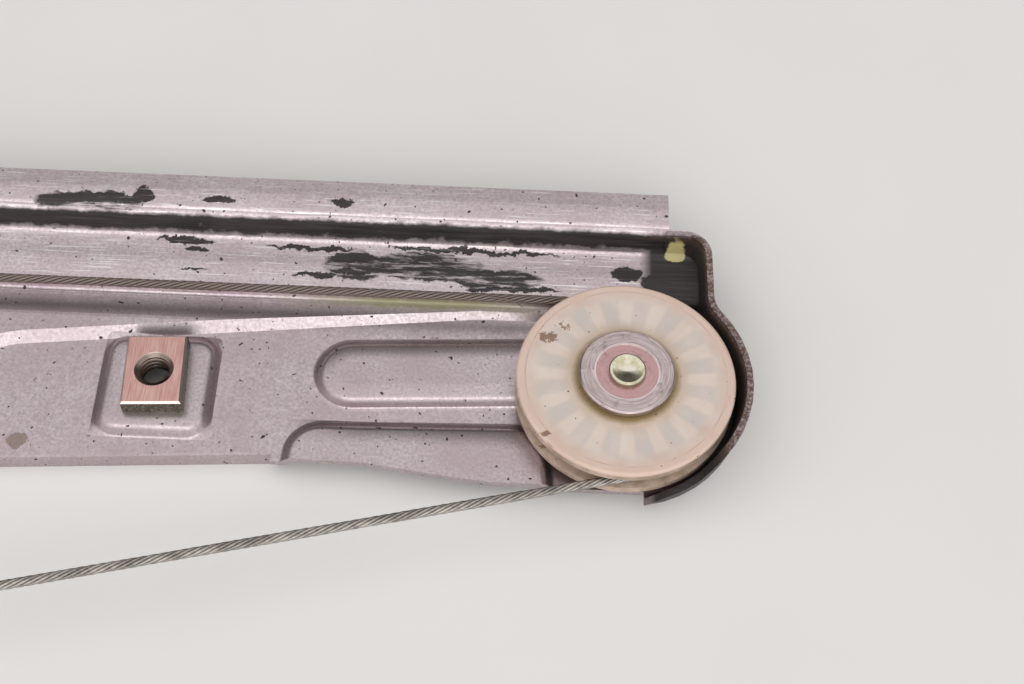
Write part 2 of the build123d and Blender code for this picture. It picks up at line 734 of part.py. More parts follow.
def slide_shoe():
    """Moulded shoe that wraps the guide lip and holds both cable ends."""
    clear = running_gap
    inner_wall = wall_y - wall_lean - clear - bore_gap
    back_wall = wall_y + sheet + clear + joint_play
    lip_low = lip_top - sheet - clear
    lip_high = lip_top + clear
    low = floor_top + clear + joint_play
    skirt = cable_level - shoe_underside
    cable_side = pulley_pitch - shoe_cable_wall
    back = lip_edge + clear + shoe_wrap
    profile = Polyline(
        (cable_side, skirt), (shoe_step, skirt), (shoe_step, low), (inner_wall, low),
        (inner_wall, lip_high), (lip_edge + clear, lip_high), (lip_edge + clear, lip_low),
        (back_wall, lip_low), (back_wall, low), (back, low), (back, shoe_top),
        (cable_side, shoe_top), close=True)
    section = make_face(profile)
    toe_corner = section.vertices().sort_by_distance(Vector(inner_wall, low))[0]
    section = chamfer(toe_corner, channel_root - 2 * joint_play)
    shoe = extrude(Plane.YZ * section, amount=shoe_length / 2, both=True)
    shoe = fillet(shoe.edges().filter_by(Axis.X).group_by(Axis.Z)[-1], shoe_edge)
    bore_length = 2 * (ferrule_inner + ferrule_length + spring_length)
    bore = Rot(Y=90) * Cylinder(ferrule_radius + bore_gap, bore_length)
    shoe -= Pos(0, pulley_pitch, cable_level) * bore
    passage = Rot(Y=90) * Cylinder(cable_radius + running_gap, shoe_length + 2.0)
    shoe -= Pos(0, pulley_pitch, cable_level) * passage
    shoe -= disc(nut_room, shoe_top - clamp_nut_height, shoe_top + 1.0, screw_x, screw_y)
    for y in peg_lines:
        shoe += disc(peg_radius, shoe_top - 1.0, shoe_top + carrier_plate, peg_x, y)
        shoe -= disc(shoe_rivet + bore_gap, shoe_top - shoe_rivet_grip, shoe_top + 1.0, -peg_x, y)
    return on_rail(shoe)


def shoe_rivets():
    """Two rivets that hold the carrier plate to the shoe."""
    top = shoe_top + carrier_plate
    rivet = disc(shoe_rivet, shoe_top - shoe_rivet_grip, top)
    rivet += disc(shoe_rivet_head, top, top + shoe_rivet_crown)
    rivets = [on_rail(Pos(-peg_x, y) * rivet) for y in peg_lines]
    return Compound(children=[placed.solid() for placed in rivets])


def plate_outline():
    centre_y = (jaw_low + jaw_high) / 2
    length = shoe_length - 2 * plate_inset
    width = jaw_high - jaw_low + 2 * plate_border
    return Pos(0.0, centre_y) * RectangleRounded(length, width, plate_corner)


def carrier_base():
    """Pressed steel plate between the shoe and the glass clamp."""
    top = shoe_top + carrier_plate
    plate = rise(plate_outline(), shoe_top, carrier_plate)
    for y in peg_lines:
        plate -= disc(peg_radius + bore_gap, 0.0, die_depth, peg_x, y)
        plate -= disc(shoe_rivet + bore_gap, 0.0, die_depth, -peg_x, y)
    plate -= disc(clamp_screw + bore_gap, 0.0, die_depth, screw_x, screw_y)
    plate -= disc(jaw_peg + bore_gap, 0.0, top + 1.0, screw_x, jaw_peg_y)
    return on_rail(plate)


def clamp_jaw():
    """Outer jaw of the glass clamp: a foot behind the glass and an arm over it."""
    base = shoe_top + carrier_plate
    arm_low = base + 2 * pad_thickness + glass_gap
    top = arm_low + jaw_thickness
    side = Polyline((foot_back, base), (glass_stop, base), (glass_stop, arm_low),
                    (jaw_reach, arm_low), (jaw_reach, top), (foot_back + jaw_chamfer, top),
                    (foot_back, top - jaw_chamfer), close=True)
    jaw = extrude(Plane.XZ * make_face(side), amount=-(jaw_high - jaw_low))
    jaw = Pos(Y=jaw_low) * jaw
    jaw = fillet(jaw.edges().filter_by(Axis.Z).group_by(Axis.X)[-1], jaw_chamfer)
    jaw -= disc(clamp_screw + bore_gap, 0.0, 2 * die_depth, screw_x, screw_y)
    jaw += disc(jaw_peg, shoe_top + joint_play, base, screw_x, jaw_peg_y)
    return on_rail(jaw)


def glass_pad(low):
    """Rubber facing of one jaw."""
    outline = band(glass_stop + pad_border, jaw_reach - pad_border, jaw_low + pad_border,
                   jaw_high - pad_border)
    return on_rail(rise(outline, low, pad_thickness))


def clamp_bolt():
    """Flanged hexagon screw that closes the clamp."""
    top = shoe_top + carrier_plate + 2 * pad_thickness + glass_gap + jaw_thickness
    bolt = disc(clamp_screw, shoe_top - clamp_nut_height + screw_start, top)
    bolt += disc(clamp_flange_radius, top, top + clamp_flange)
    bolt += rise(RegularPolygon(clamp_hexagon, 6, major_radius=False), top + clamp_flange, clamp_head)
    return on_rail(Pos(screw_x, screw_y) * bolt)


def clamp_nut():
    """Hexagon nut in the shoe, under the carrier plate."""
    outline = RegularPolygon(clamp_hexagon, 6, major_radius=False) - Circle(clamp_screw + bore_gap)
    height = clamp_nut_height - clamp_nut_play
    return on_rail(rise(Pos(screw_x, screw_y) * outline, shoe_top - height, height))


def cable_ferrule(side):
    """Crimped end of one cable inside the shoe."""
    sleeve = Rot(Y=90) * Cylinder(ferrule_radius, ferrule_length)
    sleeve -= Rot(Y=90) * Cylinder(cable_radius + running_gap, ferrule_length + 2.0)
    return on_rail(Pos(side * (ferrule_inner + ferrule_length / 2), pulley_pitch, cable_level) * sleeve)


def tension_spring(side):
    """Coil spring between a ferrule and the shoe, which keeps its cable taut."""
    coil = ferrule_radius - spring_wire / 2
    rise_length = spring_length - spring_wire - spring_play
    helix = Helix(rise_length / spring_turns, rise_length, coil)
    wire = sweep(Plane(origin=helix @ 0, z_dir=helix % 0) * Circle(spring_wire / 2), path=helix)
    start = ferrule_inner + ferrule_length + (spring_wire + spring_play) / 2
    return on_rail(Pos(side * start, pulley_pitch, cable_level) * Rot(Y=90.0 * side) * wire)


# --- output -------------------------------------------------------------------

def all_parts():
    """Every node of the regulator by name."""
    parts = {"guide_rail": guide_rail()}
    for end, place in (("upper", 0), ("lower", 1)):
        parts[end + "_weld_nut"] = both_ends(weld_nut())[place]
        parts[end + "_pulley"] = both_ends(pulley())[place]
        parts[end + "_pulley_bush"] = both_ends(pulley_bush())[place]
        parts[end + "_pulley_rivet"] = both_ends(pulley_rivet())[place]
    parts["lift_cable"] = cable(first_groove + groove_pitch, 1)
    parts["lower_cable"] = cable(first_groove, -1)
    parts["drum_housing"] = drum_housing()
    parts["housing_rivets"] = housing_rivets()
    parts["motor_inserts"] = motor_inserts()
    parts["thrust_washer"] = thrust_washer()
    parts["down_stop"] = down_stop()
    parts["cable_drum"] = drum()
    parts["lift_drum_nipple"] = drum_nipple(nipple_angles[0])
    parts["lower_drum_nipple"] = drum_nipple(nipple_angles[1])
    parts["slide_shoe"] = slide_shoe()
    parts["shoe_rivets"] = shoe_rivets()
    parts["carrier_base"] = carrier_base()
    parts["clamp_jaw"] = clamp_jaw()
    parts["inner_glass_pad"] = glass_pad(shoe_top + carrier_plate)
    parts["outer_glass_pad"] = glass_pad(shoe_top + carrier_plate + pad_thickness + glass_gap)
    parts["clamp_bolt"] = clamp_bolt()
    parts["clamp_nut"] = clamp_nut()
    for end, side in (("lift", 1), ("lower", -1)):
        parts[end + "_cable_ferrule"] = cable_ferrule(side)
        parts[end + "_tension_spring"] = tension_spring(side)
    return parts


for name, shape in all_parts().items():
    export_step(shape, f"parts/{name}.step")
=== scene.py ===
import bpy
import bmesh
import math
from mathutils import Matrix, Vector


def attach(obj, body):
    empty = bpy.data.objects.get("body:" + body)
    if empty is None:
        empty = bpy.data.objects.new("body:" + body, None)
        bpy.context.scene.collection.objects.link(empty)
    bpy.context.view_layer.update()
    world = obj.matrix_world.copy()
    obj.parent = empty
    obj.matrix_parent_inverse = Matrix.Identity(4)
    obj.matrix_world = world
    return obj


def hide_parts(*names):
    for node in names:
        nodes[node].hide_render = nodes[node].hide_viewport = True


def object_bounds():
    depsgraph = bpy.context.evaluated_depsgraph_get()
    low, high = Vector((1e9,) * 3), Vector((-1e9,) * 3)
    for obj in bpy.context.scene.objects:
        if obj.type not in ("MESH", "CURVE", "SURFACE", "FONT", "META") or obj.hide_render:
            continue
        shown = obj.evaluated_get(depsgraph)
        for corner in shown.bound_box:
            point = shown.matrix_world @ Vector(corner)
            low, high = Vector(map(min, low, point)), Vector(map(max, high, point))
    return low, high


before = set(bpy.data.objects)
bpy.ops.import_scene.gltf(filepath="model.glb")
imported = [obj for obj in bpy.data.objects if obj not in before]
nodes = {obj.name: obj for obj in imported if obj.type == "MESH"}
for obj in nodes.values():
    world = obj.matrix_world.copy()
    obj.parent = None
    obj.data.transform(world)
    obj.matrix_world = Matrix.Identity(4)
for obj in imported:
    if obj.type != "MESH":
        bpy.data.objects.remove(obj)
cad_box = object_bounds()

MM = 0.001

# Places on the regulator, in millimetres from the drum axis at the motor face.
PULLEY_X = 240.0
PULLEY_Y = 51.0
PULLEY_RADIUS = 17.5
PULLEY_RIBS = 16
BUSH_FLANGE = 7.6
BUSH_RECESS = 5.0
RIVET_CROWN = 2.95
NUT_STATION = 75.4
NUT_X = PULLEY_X - NUT_STATION
NUT_BORE = 2.5
NUT_FOOT = 1.3
NUT_TOP = 5.5
THREAD_PITCH = 1.0
GUIDE_EDGE = 67.5
CHANNEL_WALL = 78.7
FLOOR_TOP = 4.6
LIP_TOP = 9.8
RIM_TOP = 9.4
PULLEY_FACE = 9.1
LIFT_GROOVE = 7.25
LOWER_GROOVE = 4.75


# --- colours and nodes -----------------------------------------------------------

def srgb(code):
    """A hex colour as linear red, green, blue and alpha."""
    channels = [int(code[i:i + 2], 16) / 255 for i in (1, 3, 5)]
    linear = [c / 12.92 if c <= 0.04045 else ((c + 0.055) / 1.055) ** 2.4 for c in channels]
    return (*linear, 1.0)


def add(tree, kind, inputs=None, output=0, **settings):
    """Add one node with its settings and links, and give back one of its outputs."""
    node = tree.nodes.new("ShaderNode" + kind)
    for key, value in settings.items():
        setattr(node, key, value)
    for name, value in (inputs or {}).items():
        socket = node.inputs[name]
        if isinstance(value, bpy.types.NodeSocket):
            tree.links.new(value, socket)
        else:
            socket.default_value = srgb(value) if isinstance(value, str) else value
    return node.outputs[output] if len(node.outputs) else None


def new_material(name):
    material = bpy.data.materials.new(name)
    material.use_nodes = True
    material.node_tree.nodes.clear()
    return material, material.node_tree


def in_millimetres(tree, stretch=(1.0, 1.0, 1.0)):
    """Object coordinates in millimetres; a stretch below one draws a pattern out."""
    place = add(tree, "TexCoord", output="Object")
    return add(tree, "Mapping", {"Vector": place, "Scale": tuple(1000 * s for s in stretch)})


def within(tree, value, low, high, soft):
    """One where a value lies between two limits, with soft borders."""
    above = add(tree, "MapRange", {"Value": value, "From Min": low - soft, "From Max": low + soft})
    below = add(tree, "MapRange", {"Value": value, "From Min": high - soft, "From Max": high + soft,
                                   "To Min": 1.0, "To Max": 0.0})
    return add(tree, "Math", {0: above, 1: below}, operation="MULTIPLY")


def lay_over(tree, finish, mask, coat):
    """Cover a finish with another where the mask is one."""
    for channel, value in coat.items():
        if channel == "Base Color":
            finish[channel] = add(tree, "Mix", {0: mask, 6: finish[channel], 7: value}, 2, data_type="RGBA")
        else:
            finish[channel] = add(tree, "Mix", {0: mask, 2: finish[channel], 3: value})
    return finish


def polar(tree, place):
    """Radius and angle about the nearer pulley axis, and how far past it towards the rail's end."""
    x, y, _ = split(tree, place)
    out = add(tree, "Math", {0: add(tree, "Math", {0: x}, operation="ABSOLUTE"), 1: PULLEY_X},
              operation="SUBTRACT")
    across = add(tree, "Math", {0: y, 1: PULLEY_Y}, operation="SUBTRACT")
    arm = add(tree, "CombineXYZ", {"X": out, "Y": across})
    radius = add(tree, "VectorMath", {0: arm}, "Value", operation="LENGTH")
    angle = add(tree, "Math", {0: across, 1: out}, operation="ARCTAN2")
    return radius, angle, out


def split(tree, place):
    parts = add(tree, "SeparateXYZ", {0: place}).node
    return parts.outputs[0], parts.outputs[1], parts.outputs[2]


def surface(tree, finish, bump, strength, depth):
    """Shader and output of a material from its channels and a bump height in millimetres."""
    normal = add(tree, "Bump", {"Height": bump, "Strength": strength, "Distance": depth * MM})
    shader = add(tree, "BsdfPrincipled", {**finish, "Normal": normal})
    add(tree, "OutputMaterial", {"Surface": shader})
    return shader.node


# --- the rail's finish --------------------------------------------------------------

# Old grease on the guide: centre and half size, along and across the rail.
GREASE_PATCHES = [
    (151.5, 81.7, 6.8, 1.2), (158.8, 82.4, 1.7, 1.8), (171.8, 82.0, 2.7, 0.8), (192.2, 82.4, 2.2, 0.8),
    (187.0, 76.4, 7.5, 0.5), (215.0, 77.0, 15.0, 0.45), (193.0, 74.6, 2.6, 1.0), (194.5, 71.8, 3.4, 0.7),
    (188.5, 71.0, 4.0, 0.45), (221.5, 69.6, 8.0, 0.55), (166.0, 76.9, 5.0, 0.6), (168.0, 75.2, 2.2, 0.5),
    (168.2, 71.3, 2.2, 0.3), (240.8, 73.6, 2.8, 1.5), (246.8, 72.0, 3.8, 2.2), (252.0, 73.0, 1.4, 6.0),
]
GREASE_FILMS = [
    (195.0, 73.2, 5.4, 2.9), (207.0, 73.6, 9.5, 2.9), (150.0, 80.6, 9.0, 2.2), (219.0, 71.5, 8.0, 2.0),
]
FRESH_GREASE = [(249.0, 77.6, 1.8, 1.0)]
RUST_BLOOM = [(144.0, 39.5, 1.6, 1.6)]

# The pressed forms of the rail's end, from the pulley axis.
BEAD_START = Vector((-44.0, 2.8, 0.0))
BEAD_END = Vector((6.0, 5.5, 0.0))
PAD_CENTRE = (-NUT_STATION, -0.7, 0.0)
TOE_EDGE = -5.8


def ragged(tree, place, amount, size):
    """The same place pushed about by noise, so that borders drawn on it turn out ragged."""
    shift = add(tree, "TexNoise", {"Vector": place, "Scale": 1.0 / size, "Detail": 5.0,
                                   "Roughness": 0.7}, "Color")
    centred = add(tree, "VectorMath", {0: shift, 1: (0.5, 0.5, 0.5)}, operation="SUBTRACT")
    pushed = add(tree, "VectorMath", {0: centred, 3: 2.0 * amount}, operation="SCALE")
    return add(tree, "VectorMath", {0: place, 1: pushed}, operation="ADD")


def patches(tree, place, spots):
    """One inside any of a list of oblong spots on the plan of the rail."""
    nearest = 9.0
    for x, y, half_length, half_width in spots:
        local = add(tree, "Mapping", {"Vector": place, "Location": (x, y, 0.0),
                                      "Scale": (half_length, half_width, 1e6)}, vector_type="TEXTURE")
        reach = add(tree, "VectorMath", {0: local}, "Value", operation="LENGTH")
        nearest = add(tree, "Math", {0: reach, 1: nearest}, operation="MINIMUM")
    return add(tree, "MapRange", {"Value": nearest, "From Min": 0.92, "From Max": 1.05, "To Min": 1.0,
                                  "To Max": 0.0})


def rolled_edges(tree, place):
    """Height of the soft crowns that a stamping has beside its sharper bends, in millimetres."""
    x, y, _ = split(tree, place)
    out = add(tree, "Math", {0: add(tree, "Math", {0: x}, operation="ABSOLUTE"), 1: PULLEY_X},
              operation="SUBTRACT")
    across = add(tree, "Math", {0: y, 1: PULLEY_Y}, operation="SUBTRACT")
    spot = add(tree, "CombineXYZ", {"X": out, "Y": across})

    # the oblong bead: distance from its middle line
    run = BEAD_END - BEAD_START
    arm = add(tree, "VectorMath", {0: spot, 1: BEAD_START}, operation="SUBTRACT")
    share = add(tree, "VectorMath", {0: arm, 1: run / run.length_squared}, "Value", operation="DOT_PRODUCT")
    share = add(tree, "Clamp", {"Value": share})
    nearest = add(tree, "VectorMath", {0: run, 3: share}, operation="SCALE")
    away = add(tree, "VectorMath", {0: arm, 1: nearest}, operation="SUBTRACT")
    reach = add(tree, "VectorMath", {0: away}, "Value", operation="LENGTH")
    bead = add(tree, "MapRange", {"Value": reach, "From Min": 2.2, "From Max": 6.2})

    # the nut's pad: the larger of the two distances from its middle
    pad = add(tree, "VectorMath", {0: spot, 1: PAD_CENTRE}, operation="SUBTRACT")
    pad = add(tree, "VectorMath", {0: pad}, operation="ABSOLUTE")
    pad_x, pad_y, _ = split(tree, pad)
    corner = add(tree, "Math", {0: pad_x, 1: pad_y, 2: 2.5}, operation="SMOOTH_MAX")
    pad_edge = add(tree, "MapRange", {"Value": corner, "From Min": 6.0, "From Max": 9.6})

    # the toe's upper edge and the rail's lower edge
    toe = add(tree, "MapRange", {"Value": across, "From Min": TOE_EDGE - 4.7, "From Max": TOE_EDGE})
    toe = add(tree, "Math", {0: toe, 1: 2.0}, operation="POWER")
    toe = add(tree, "Math", {0: 1.0, 1: toe}, operation="SUBTRACT")
    toe_zone = within(tree, out, -48.0, 10.0, 6.0)
    toe = add(tree, "Math", {0: toe, 1: toe_zone}, operation="MULTIPLY")
    slope = add(tree, "Math", {0: out, 1: -0.058, 2: across}, operation="MULTIPLY_ADD")
    lower = add(tree, "MapRange", {"Value": slope, "From Min": -8.5, "From Max": -10.6})
    lower_zone = within(tree, out, -150.0, -59.0, 3.0)
    lower = add(tree, "Math", {0: lower, 1: lower_zone}, operation="MULTIPLY")

    # the guide: the lip and the floor's outer edge fall away, and the floor rises into the wall
    from_wall = add(tree, "Math", {0: y, 1: CHANNEL_WALL}, operation="SUBTRACT")
    lip = add(tree, "MapRange", {"Value": from_wall, "From Min": 5.5, "From Max": 1.2})
    floor_edge = add(tree, "MapRange", {"Value": from_wall, "From Min": -5.2, "From Max": -9.4})
    root = add(tree, "MapRange", {"Value": from_wall, "From Min": -4.4, "From Max": -0.4})

    # each edge falls away, or rises where the fall is negative, by so many millimetres
    crown = add(tree, "Math", {0: toe, 1: 0.9}, operation="MULTIPLY")
    falls = ((bead, 0.9), (pad_edge, 0.8), (lower, 0.5), (lip, 0.9), (floor_edge, 0.7), (root, -0.6))
    for edge, fall in falls:
        rounded = add(tree, "Math", {0: edge, 1: 2.0}, operation="POWER")
        crown = add(tree, "Math", {0: rounded, 1: -fall, 2: crown}, operation="MULTIPLY_ADD")
    return crown


def zinc_plated_sheet():
    """Pressed steel strip, zinc plated: rosy grey, the tint partly a painted reflection of red surroundings;
    a mottled grain and rolling lines, dark pits, scratches where the shoe runs, and old black grease in the
    guide, deepened by painted shade in its corner and in the cup."""
    material, tree = new_material("zinc_plated_sheet")
    place = in_millimetres(tree)
    torn = ragged(tree, place, 1.7, 2.6)
    x, y, z = split(tree, place)
    _, torn_y, _ = split(tree, torn)

    cloud = add(tree, "TexNoise", {"Vector": place, "Scale": 1 / 14, "Detail": 4.0, "Roughness": 0.6}, "Fac")
    grain = add(tree, "TexNoise", {"Vector": place, "Scale": 1 / 0.5, "Detail": 3.0, "Roughness": 0.7}, "Fac")
    drawn = in_millimetres(tree, (0.04, 1.0, 1.0))
    rolling = add(tree, "TexNoise", {"Vector": drawn, "Scale": 1 / 0.35, "Detail": 4.0,
                                     "Roughness": 0.7}, "Fac")
    pits = add(tree, "TexNoise", {"Vector": place, "Scale": 1 / 0.9, "Detail": 1.0, "Roughness": 0.4}, "Fac")

    clouded = add(tree, "MapRange", {"Value": cloud, "From Min": 0.35, "From Max": 0.65})
    mottled = add(tree, "MapRange", {"Value": grain, "From Min": 0.3, "From Max": 0.7})
    # rosy grey: the tint is partly zinc passivation and partly a painted reflection of red surroundings
    tone = add(tree, "Mix", {0: clouded, 6: "#C8B8BD", 7: "#DACFD1"}, 2, data_type="RGBA")
    tone = add(tree, "Mix", {0: mottled, 6: "#B3A6AA", 7: tone}, 2, data_type="RGBA")
    rough = add(tree, "MapRange", {"Value": grain, "From Min": 0.3, "From Max": 0.7, "To Min": 0.42,
                                   "To Max": 0.3})
    finish = {"Base Color": tone, "Roughness": rough, "Metallic": 1.0}

    # scratches and rub marks along the channel floor and the lip
    on_guide = add(tree, "MapRange", {"Value": y, "From Min": GUIDE_EDGE, "From Max": GUIDE_EDGE + 1.5})
    lines = add(tree, "MapRange", {"Value": rolling, "From Min": 0.56, "From Max": 0.66})
    rubbed = add(tree, "Math", {0: on_guide, 1: lines}, operation="MULTIPLY")
    finish = lay_over(tree, finish, rubbed, {"Base Color": "#E2DEDC", "Roughness": 0.24})

    # pits where the plating has failed
    spots = add(tree, "MapRange", {"Value": pits, "From Min": 0.72, "From Max": 0.76})
    finish = lay_over(tree, finish, spots, {"Base Color": "#3D3836", "Roughness": 0.6, "Metallic": 0.3})

    # waxy grease under the cable, where it has run off the rope
    under_cable = within(tree, torn_y, GUIDE_EDGE - 0.9, GUIDE_EDGE + 0.8, 0.5)
    upper_run = within(tree, x, 190.0, 224.0, 9.0)
    run_off = add(tree, "Math", {0: under_cable, 1: upper_run}, operation="MULTIPLY")
    finish = lay_over(tree, finish, run_off, {"Base Color": "#A39D80", "Roughness": 0.5, "Metallic": 0.6})

    # old black grease in patches; in the corner of the guide and on the cup's inner wall the black is grease
    # and painted shade together
    loose = ragged(tree, place, 0.6, 3.0)
    _, loose_y, loose_z = split(tree, loose)
    # the corner under the lip: black grease and the painted shade of the gap under the lip
    corner = within(tree, loose_y, CHANNEL_WALL - 0.5, CHANNEL_WALL + 1.7, 0.2)
    not_lip = add(tree, "MapRange", {"Value": loose_z, "From Min": LIP_TOP - 1.1, "From Max": LIP_TOP - 0.6,
                                     "To Min": 1.0, "To Max": 0.0})
    above_floor = add(tree, "MapRange", {"Value": z, "From Min": FLOOR_TOP - 1.0,
                                         "From Max": FLOOR_TOP - 0.4})
    corner = add(tree, "Math", {0: corner, 1: not_lip}, operation="MULTIPLY")
    corner = add(tree, "Math", {0: corner, 1: above_floor}, operation="MULTIPLY")
    radius, _, out = polar(tree, place)
    beyond = add(tree, "MapRange", {"Value": out, "From Min": 3.0, "From Max": 5.0})
    standing = within(tree, loose_z, 1.6, RIM_TOP - 0.8, 0.3)
    off_seat = add(tree, "MapRange", {"Value": radius, "From Min": PULLEY_RADIUS + 0.1,
                                      "From Max": PULLEY_RADIUS + 0.7})
    # the cup's inner wall beyond the pulley: grease and the painted shade of the recess
    cup = add(tree, "Math", {0: beyond, 1: standing}, operation="MULTIPLY")
    cup = add(tree, "Math", {0: cup, 1: off_seat}, operation="MULTIPLY")
    smears = patches(tree, torn, GREASE_PATCHES)
    smears = add(tree, "Math", {0: smears, 1: above_floor}, operation="MULTIPLY")
    dragged = add(tree, "MapRange", {"Value": rolling, "From Min": 0.6, "From Max": 0.72, "To Min": 1.0,
                                     "To Max": 0.35})
    smears = add(tree, "Math", {0: smears, 1: dragged}, operation="MULTIPLY")
    streak = add(tree, "TexNoise", {"Vector": in_millimetres(tree, (0.12, 0.8, 1.0)), "Scale": 1 / 2.0,
                                    "Detail": 6.0, "Roughness": 0.75}, "Fac")
    lower_half = add(tree, "MapRange", {"Value": x, "From Min": 120.0, "From Max": 140.0, "To Min": 1.0,
                                        "To Max": 0.0})
    films = patches(tree, torn, GREASE_FILMS)
    films = add(tree, "Math", {0: films, 1: above_floor}, operation="MULTIPLY")
    broken = add(tree, "MapRange", {"Value": streak, "From Min": 0.45, "From Max": 0.54, "To Min": 0.12})
    films = add(tree, "Math", {0: films, 1: broken}, operation="MULTIPLY")
    smears = add(tree, "Math", {0: smears, 1: films}, operation="MAXIMUM")
    random_smears = add(tree, "MapRange", {"Value": streak, "From Min": 0.62, "From Max": 0.66})
    random_smears = add(tree, "Math", {0: random_smears, 1: lower_half}, operation="MULTIPLY")
    random_smears = add(tree, "Math", {0: random_smears, 1: on_guide}, operation="MULTIPLY")
    # the black coat: grease, with painted shade in the guide's corner and in the cup
    grease = add(tree, "Math", {0: smears, 1: corner}, operation="MAXIMUM")
    grease = add(tree, "Math", {0: grease, 1: cup}, operation="MAXIMUM")
    grease = add(tree, "Math", {0: grease, 1: random_smears}, operation="MAXIMUM")
    thin = add(tree, "MapRange", {"Value": rolling, "From Min": 0.4, "From Max": 0.68, "To Min": 1.0,
                                  "To Max": 0.95})
    grease = add(tree, "Math", {0: grease, 1: thin}, operation="MULTIPLY")
    finish = lay_over(tree, finish, grease, {"Base Color": "#241E1D", "Roughness": 0.5, "Metallic": 0.0})

    # a lump of fresh grease at the end of the lip, and a rust bloom on the plate
    fresh = patches(tree, ragged(tree, place, 0.5, 1.5), FRESH_GREASE)
    finish = lay_over(tree, finish, fresh, {"Base Color": "#C9BD86", "Roughness": 0.35, "Metallic": 0.0})
    rust = patches(tree, ragged(tree, place, 1.6, 2.0), RUST_BLOOM)
    rust = add(tree, "Math", {0: rust, 1: 0.7}, operation="MULTIPLY")
    finish = lay_over(tree, finish, rust, {"Base Color": "#8A7367", "Roughness": 0.7, "Metallic": 0.2})

    # the cup's rim: brown film, worn bright along the top
    rim = add(tree, "MapRange", {"Value": z, "From Min": RIM_TOP - 1.9, "From Max": RIM_TOP - 1.1})
    rim = add(tree, "Math", {0: rim, 1: beyond}, operation="MULTIPLY")
    off_lip = add(tree, "MapRange", {"Value": y, "From Min": 78.0, "From Max": 80.0, "To Min": 1.0,
                                     "To Max": 0.0})
    rim = add(tree, "Math", {0: rim, 1: off_lip}, operation="MULTIPLY")
    worn = add(tree, "MapRange", {"Value": grain, "From Min": 0.42, "From Max": 0.66, "To Min": 1.0,
                                  "To Max": 0.35})
    rim = add(tree, "Math", {0: rim, 1: worn}, operation="MULTIPLY")
    finish = lay_over(tree, finish, rim, {"Base Color": "#614B40", "Roughness": 0.45, "Metallic": 0.6})

    texture = add(tree, "Mix", {0: 0.5, 2: rolling, 3: grain})
    relief = rolled_edges(tree, place)
    relief = add(tree, "Math", {0: texture, 1: 0.012, 2: relief}, operation="MULTIPLY_ADD")
    relief = add(tree, "Math", {0: grease, 1: 0.03, 2: relief}, operation="MULTIPLY_ADD")
    surface(tree, finish, relief, 1.0, 1.0)
    return material


# --- the other metals ----------------------------------------------------------------

def plated_steel(name, light, dark, roughness):
    """Small pressed or headed steel piece, zinc plated: cloudy grey with fine pits."""
    material, tree = new_material(name)
    place = in_millimetres(tree)
    cloud = add(tree, "TexNoise", {"Vector": place, "Scale": 1 / 3, "Detail": 5.0, "Roughness": 0.65}, "Fac")
    pits = add(tree, "TexNoise", {"Vector": place, "Scale": 1 / 0.5, "Detail": 2.0, "Roughness": 0.5}, "Fac")
    clouded = add(tree, "MapRange", {"Value": cloud, "From Min": 0.35, "From Max": 0.65})
    tone = add(tree, "Mix", {0: clouded, 6: dark, 7: light}, 2, data_type="RGBA")
    rough = add(tree, "MapRange", {"Value": cloud, "From Min": 0.3, "From Max": 0.7,
                                   "To Min": roughness + 0.1, "To Max": roughness - 0.04})
    finish = {"Base Color": tone, "Roughness": rough, "Metallic": 1.0}
    spots = add(tree, "MapRange", {"Value": pits, "From Min": 0.68, "From Max": 0.74})
    finish = lay_over(tree, finish, spots, {"Base Color": "#4A4442", "Roughness": 0.6})
    surface(tree, finish, pits, 0.2, 0.02)
    return material


def turned_bush():
    """Turned steel bush: fine rings from the tool, a recess rosy from a painted reflection of red
    surroundings, a painted highlight round its step, dark blotchy stains.
    """
    material, tree = new_material("turned_steel")
    place = in_millimetres(tree)
    radius, angle, _ = polar(tree, place)
    swept = add(tree, "CombineXYZ", {"X": radius, "Y": add(tree, "Math", {0: angle, 1: 0.35},
                                                           operation="MULTIPLY")})
    # tool marks 0.25 mm apart, coarser than the real ones so that they show
    rings = add(tree, "TexNoise", {"Vector": swept, "Scale": 1 / 0.25, "Detail": 3.0,
                                   "Roughness": 0.6}, "Fac")
    blotch = add(tree, "TexNoise", {"Vector": place, "Scale": 1 / 1.6, "Detail": 5.0,
                                    "Roughness": 0.7}, "Fac")
    ringed = add(tree, "MapRange", {"Value": rings, "From Min": 0.35, "From Max": 0.65})
    tone = add(tree, "Mix", {0: ringed, 6: "#AD9C9E", 7: "#DCCFCE"}, 2, data_type="RGBA")
    finish = {"Base Color": tone, "Roughness": 0.34, "Metallic": 1.0}
    # the recess: a rosy tint, painted reflection of red surroundings
    recess = add(tree, "MapRange", {"Value": radius, "From Min": BUSH_RECESS, "From Max": BUSH_RECESS + 0.15,
                                    "To Min": 0.75, "To Max": 0.0})
    finish = lay_over(tree, finish, recess, {"Base Color": "#CC9D9E"})
    # a bright ring at the recess's step: painted highlight
    step = within(tree, radius, BUSH_RECESS, BUSH_RECESS + 0.2, 0.06)
    finish = lay_over(tree, finish, step, {"Base Color": "#E6DEDC", "Roughness": 0.25})
    stained = add(tree, "MapRange", {"Value": blotch, "From Min": 0.55, "From Max": 0.68, "To Max": 0.55})
    finish = lay_over(tree, finish, stained, {"Base Color": "#7F6B6C", "Roughness": 0.5})
    surface(tree, finish, rings, 0.5, 0.03)
    return material


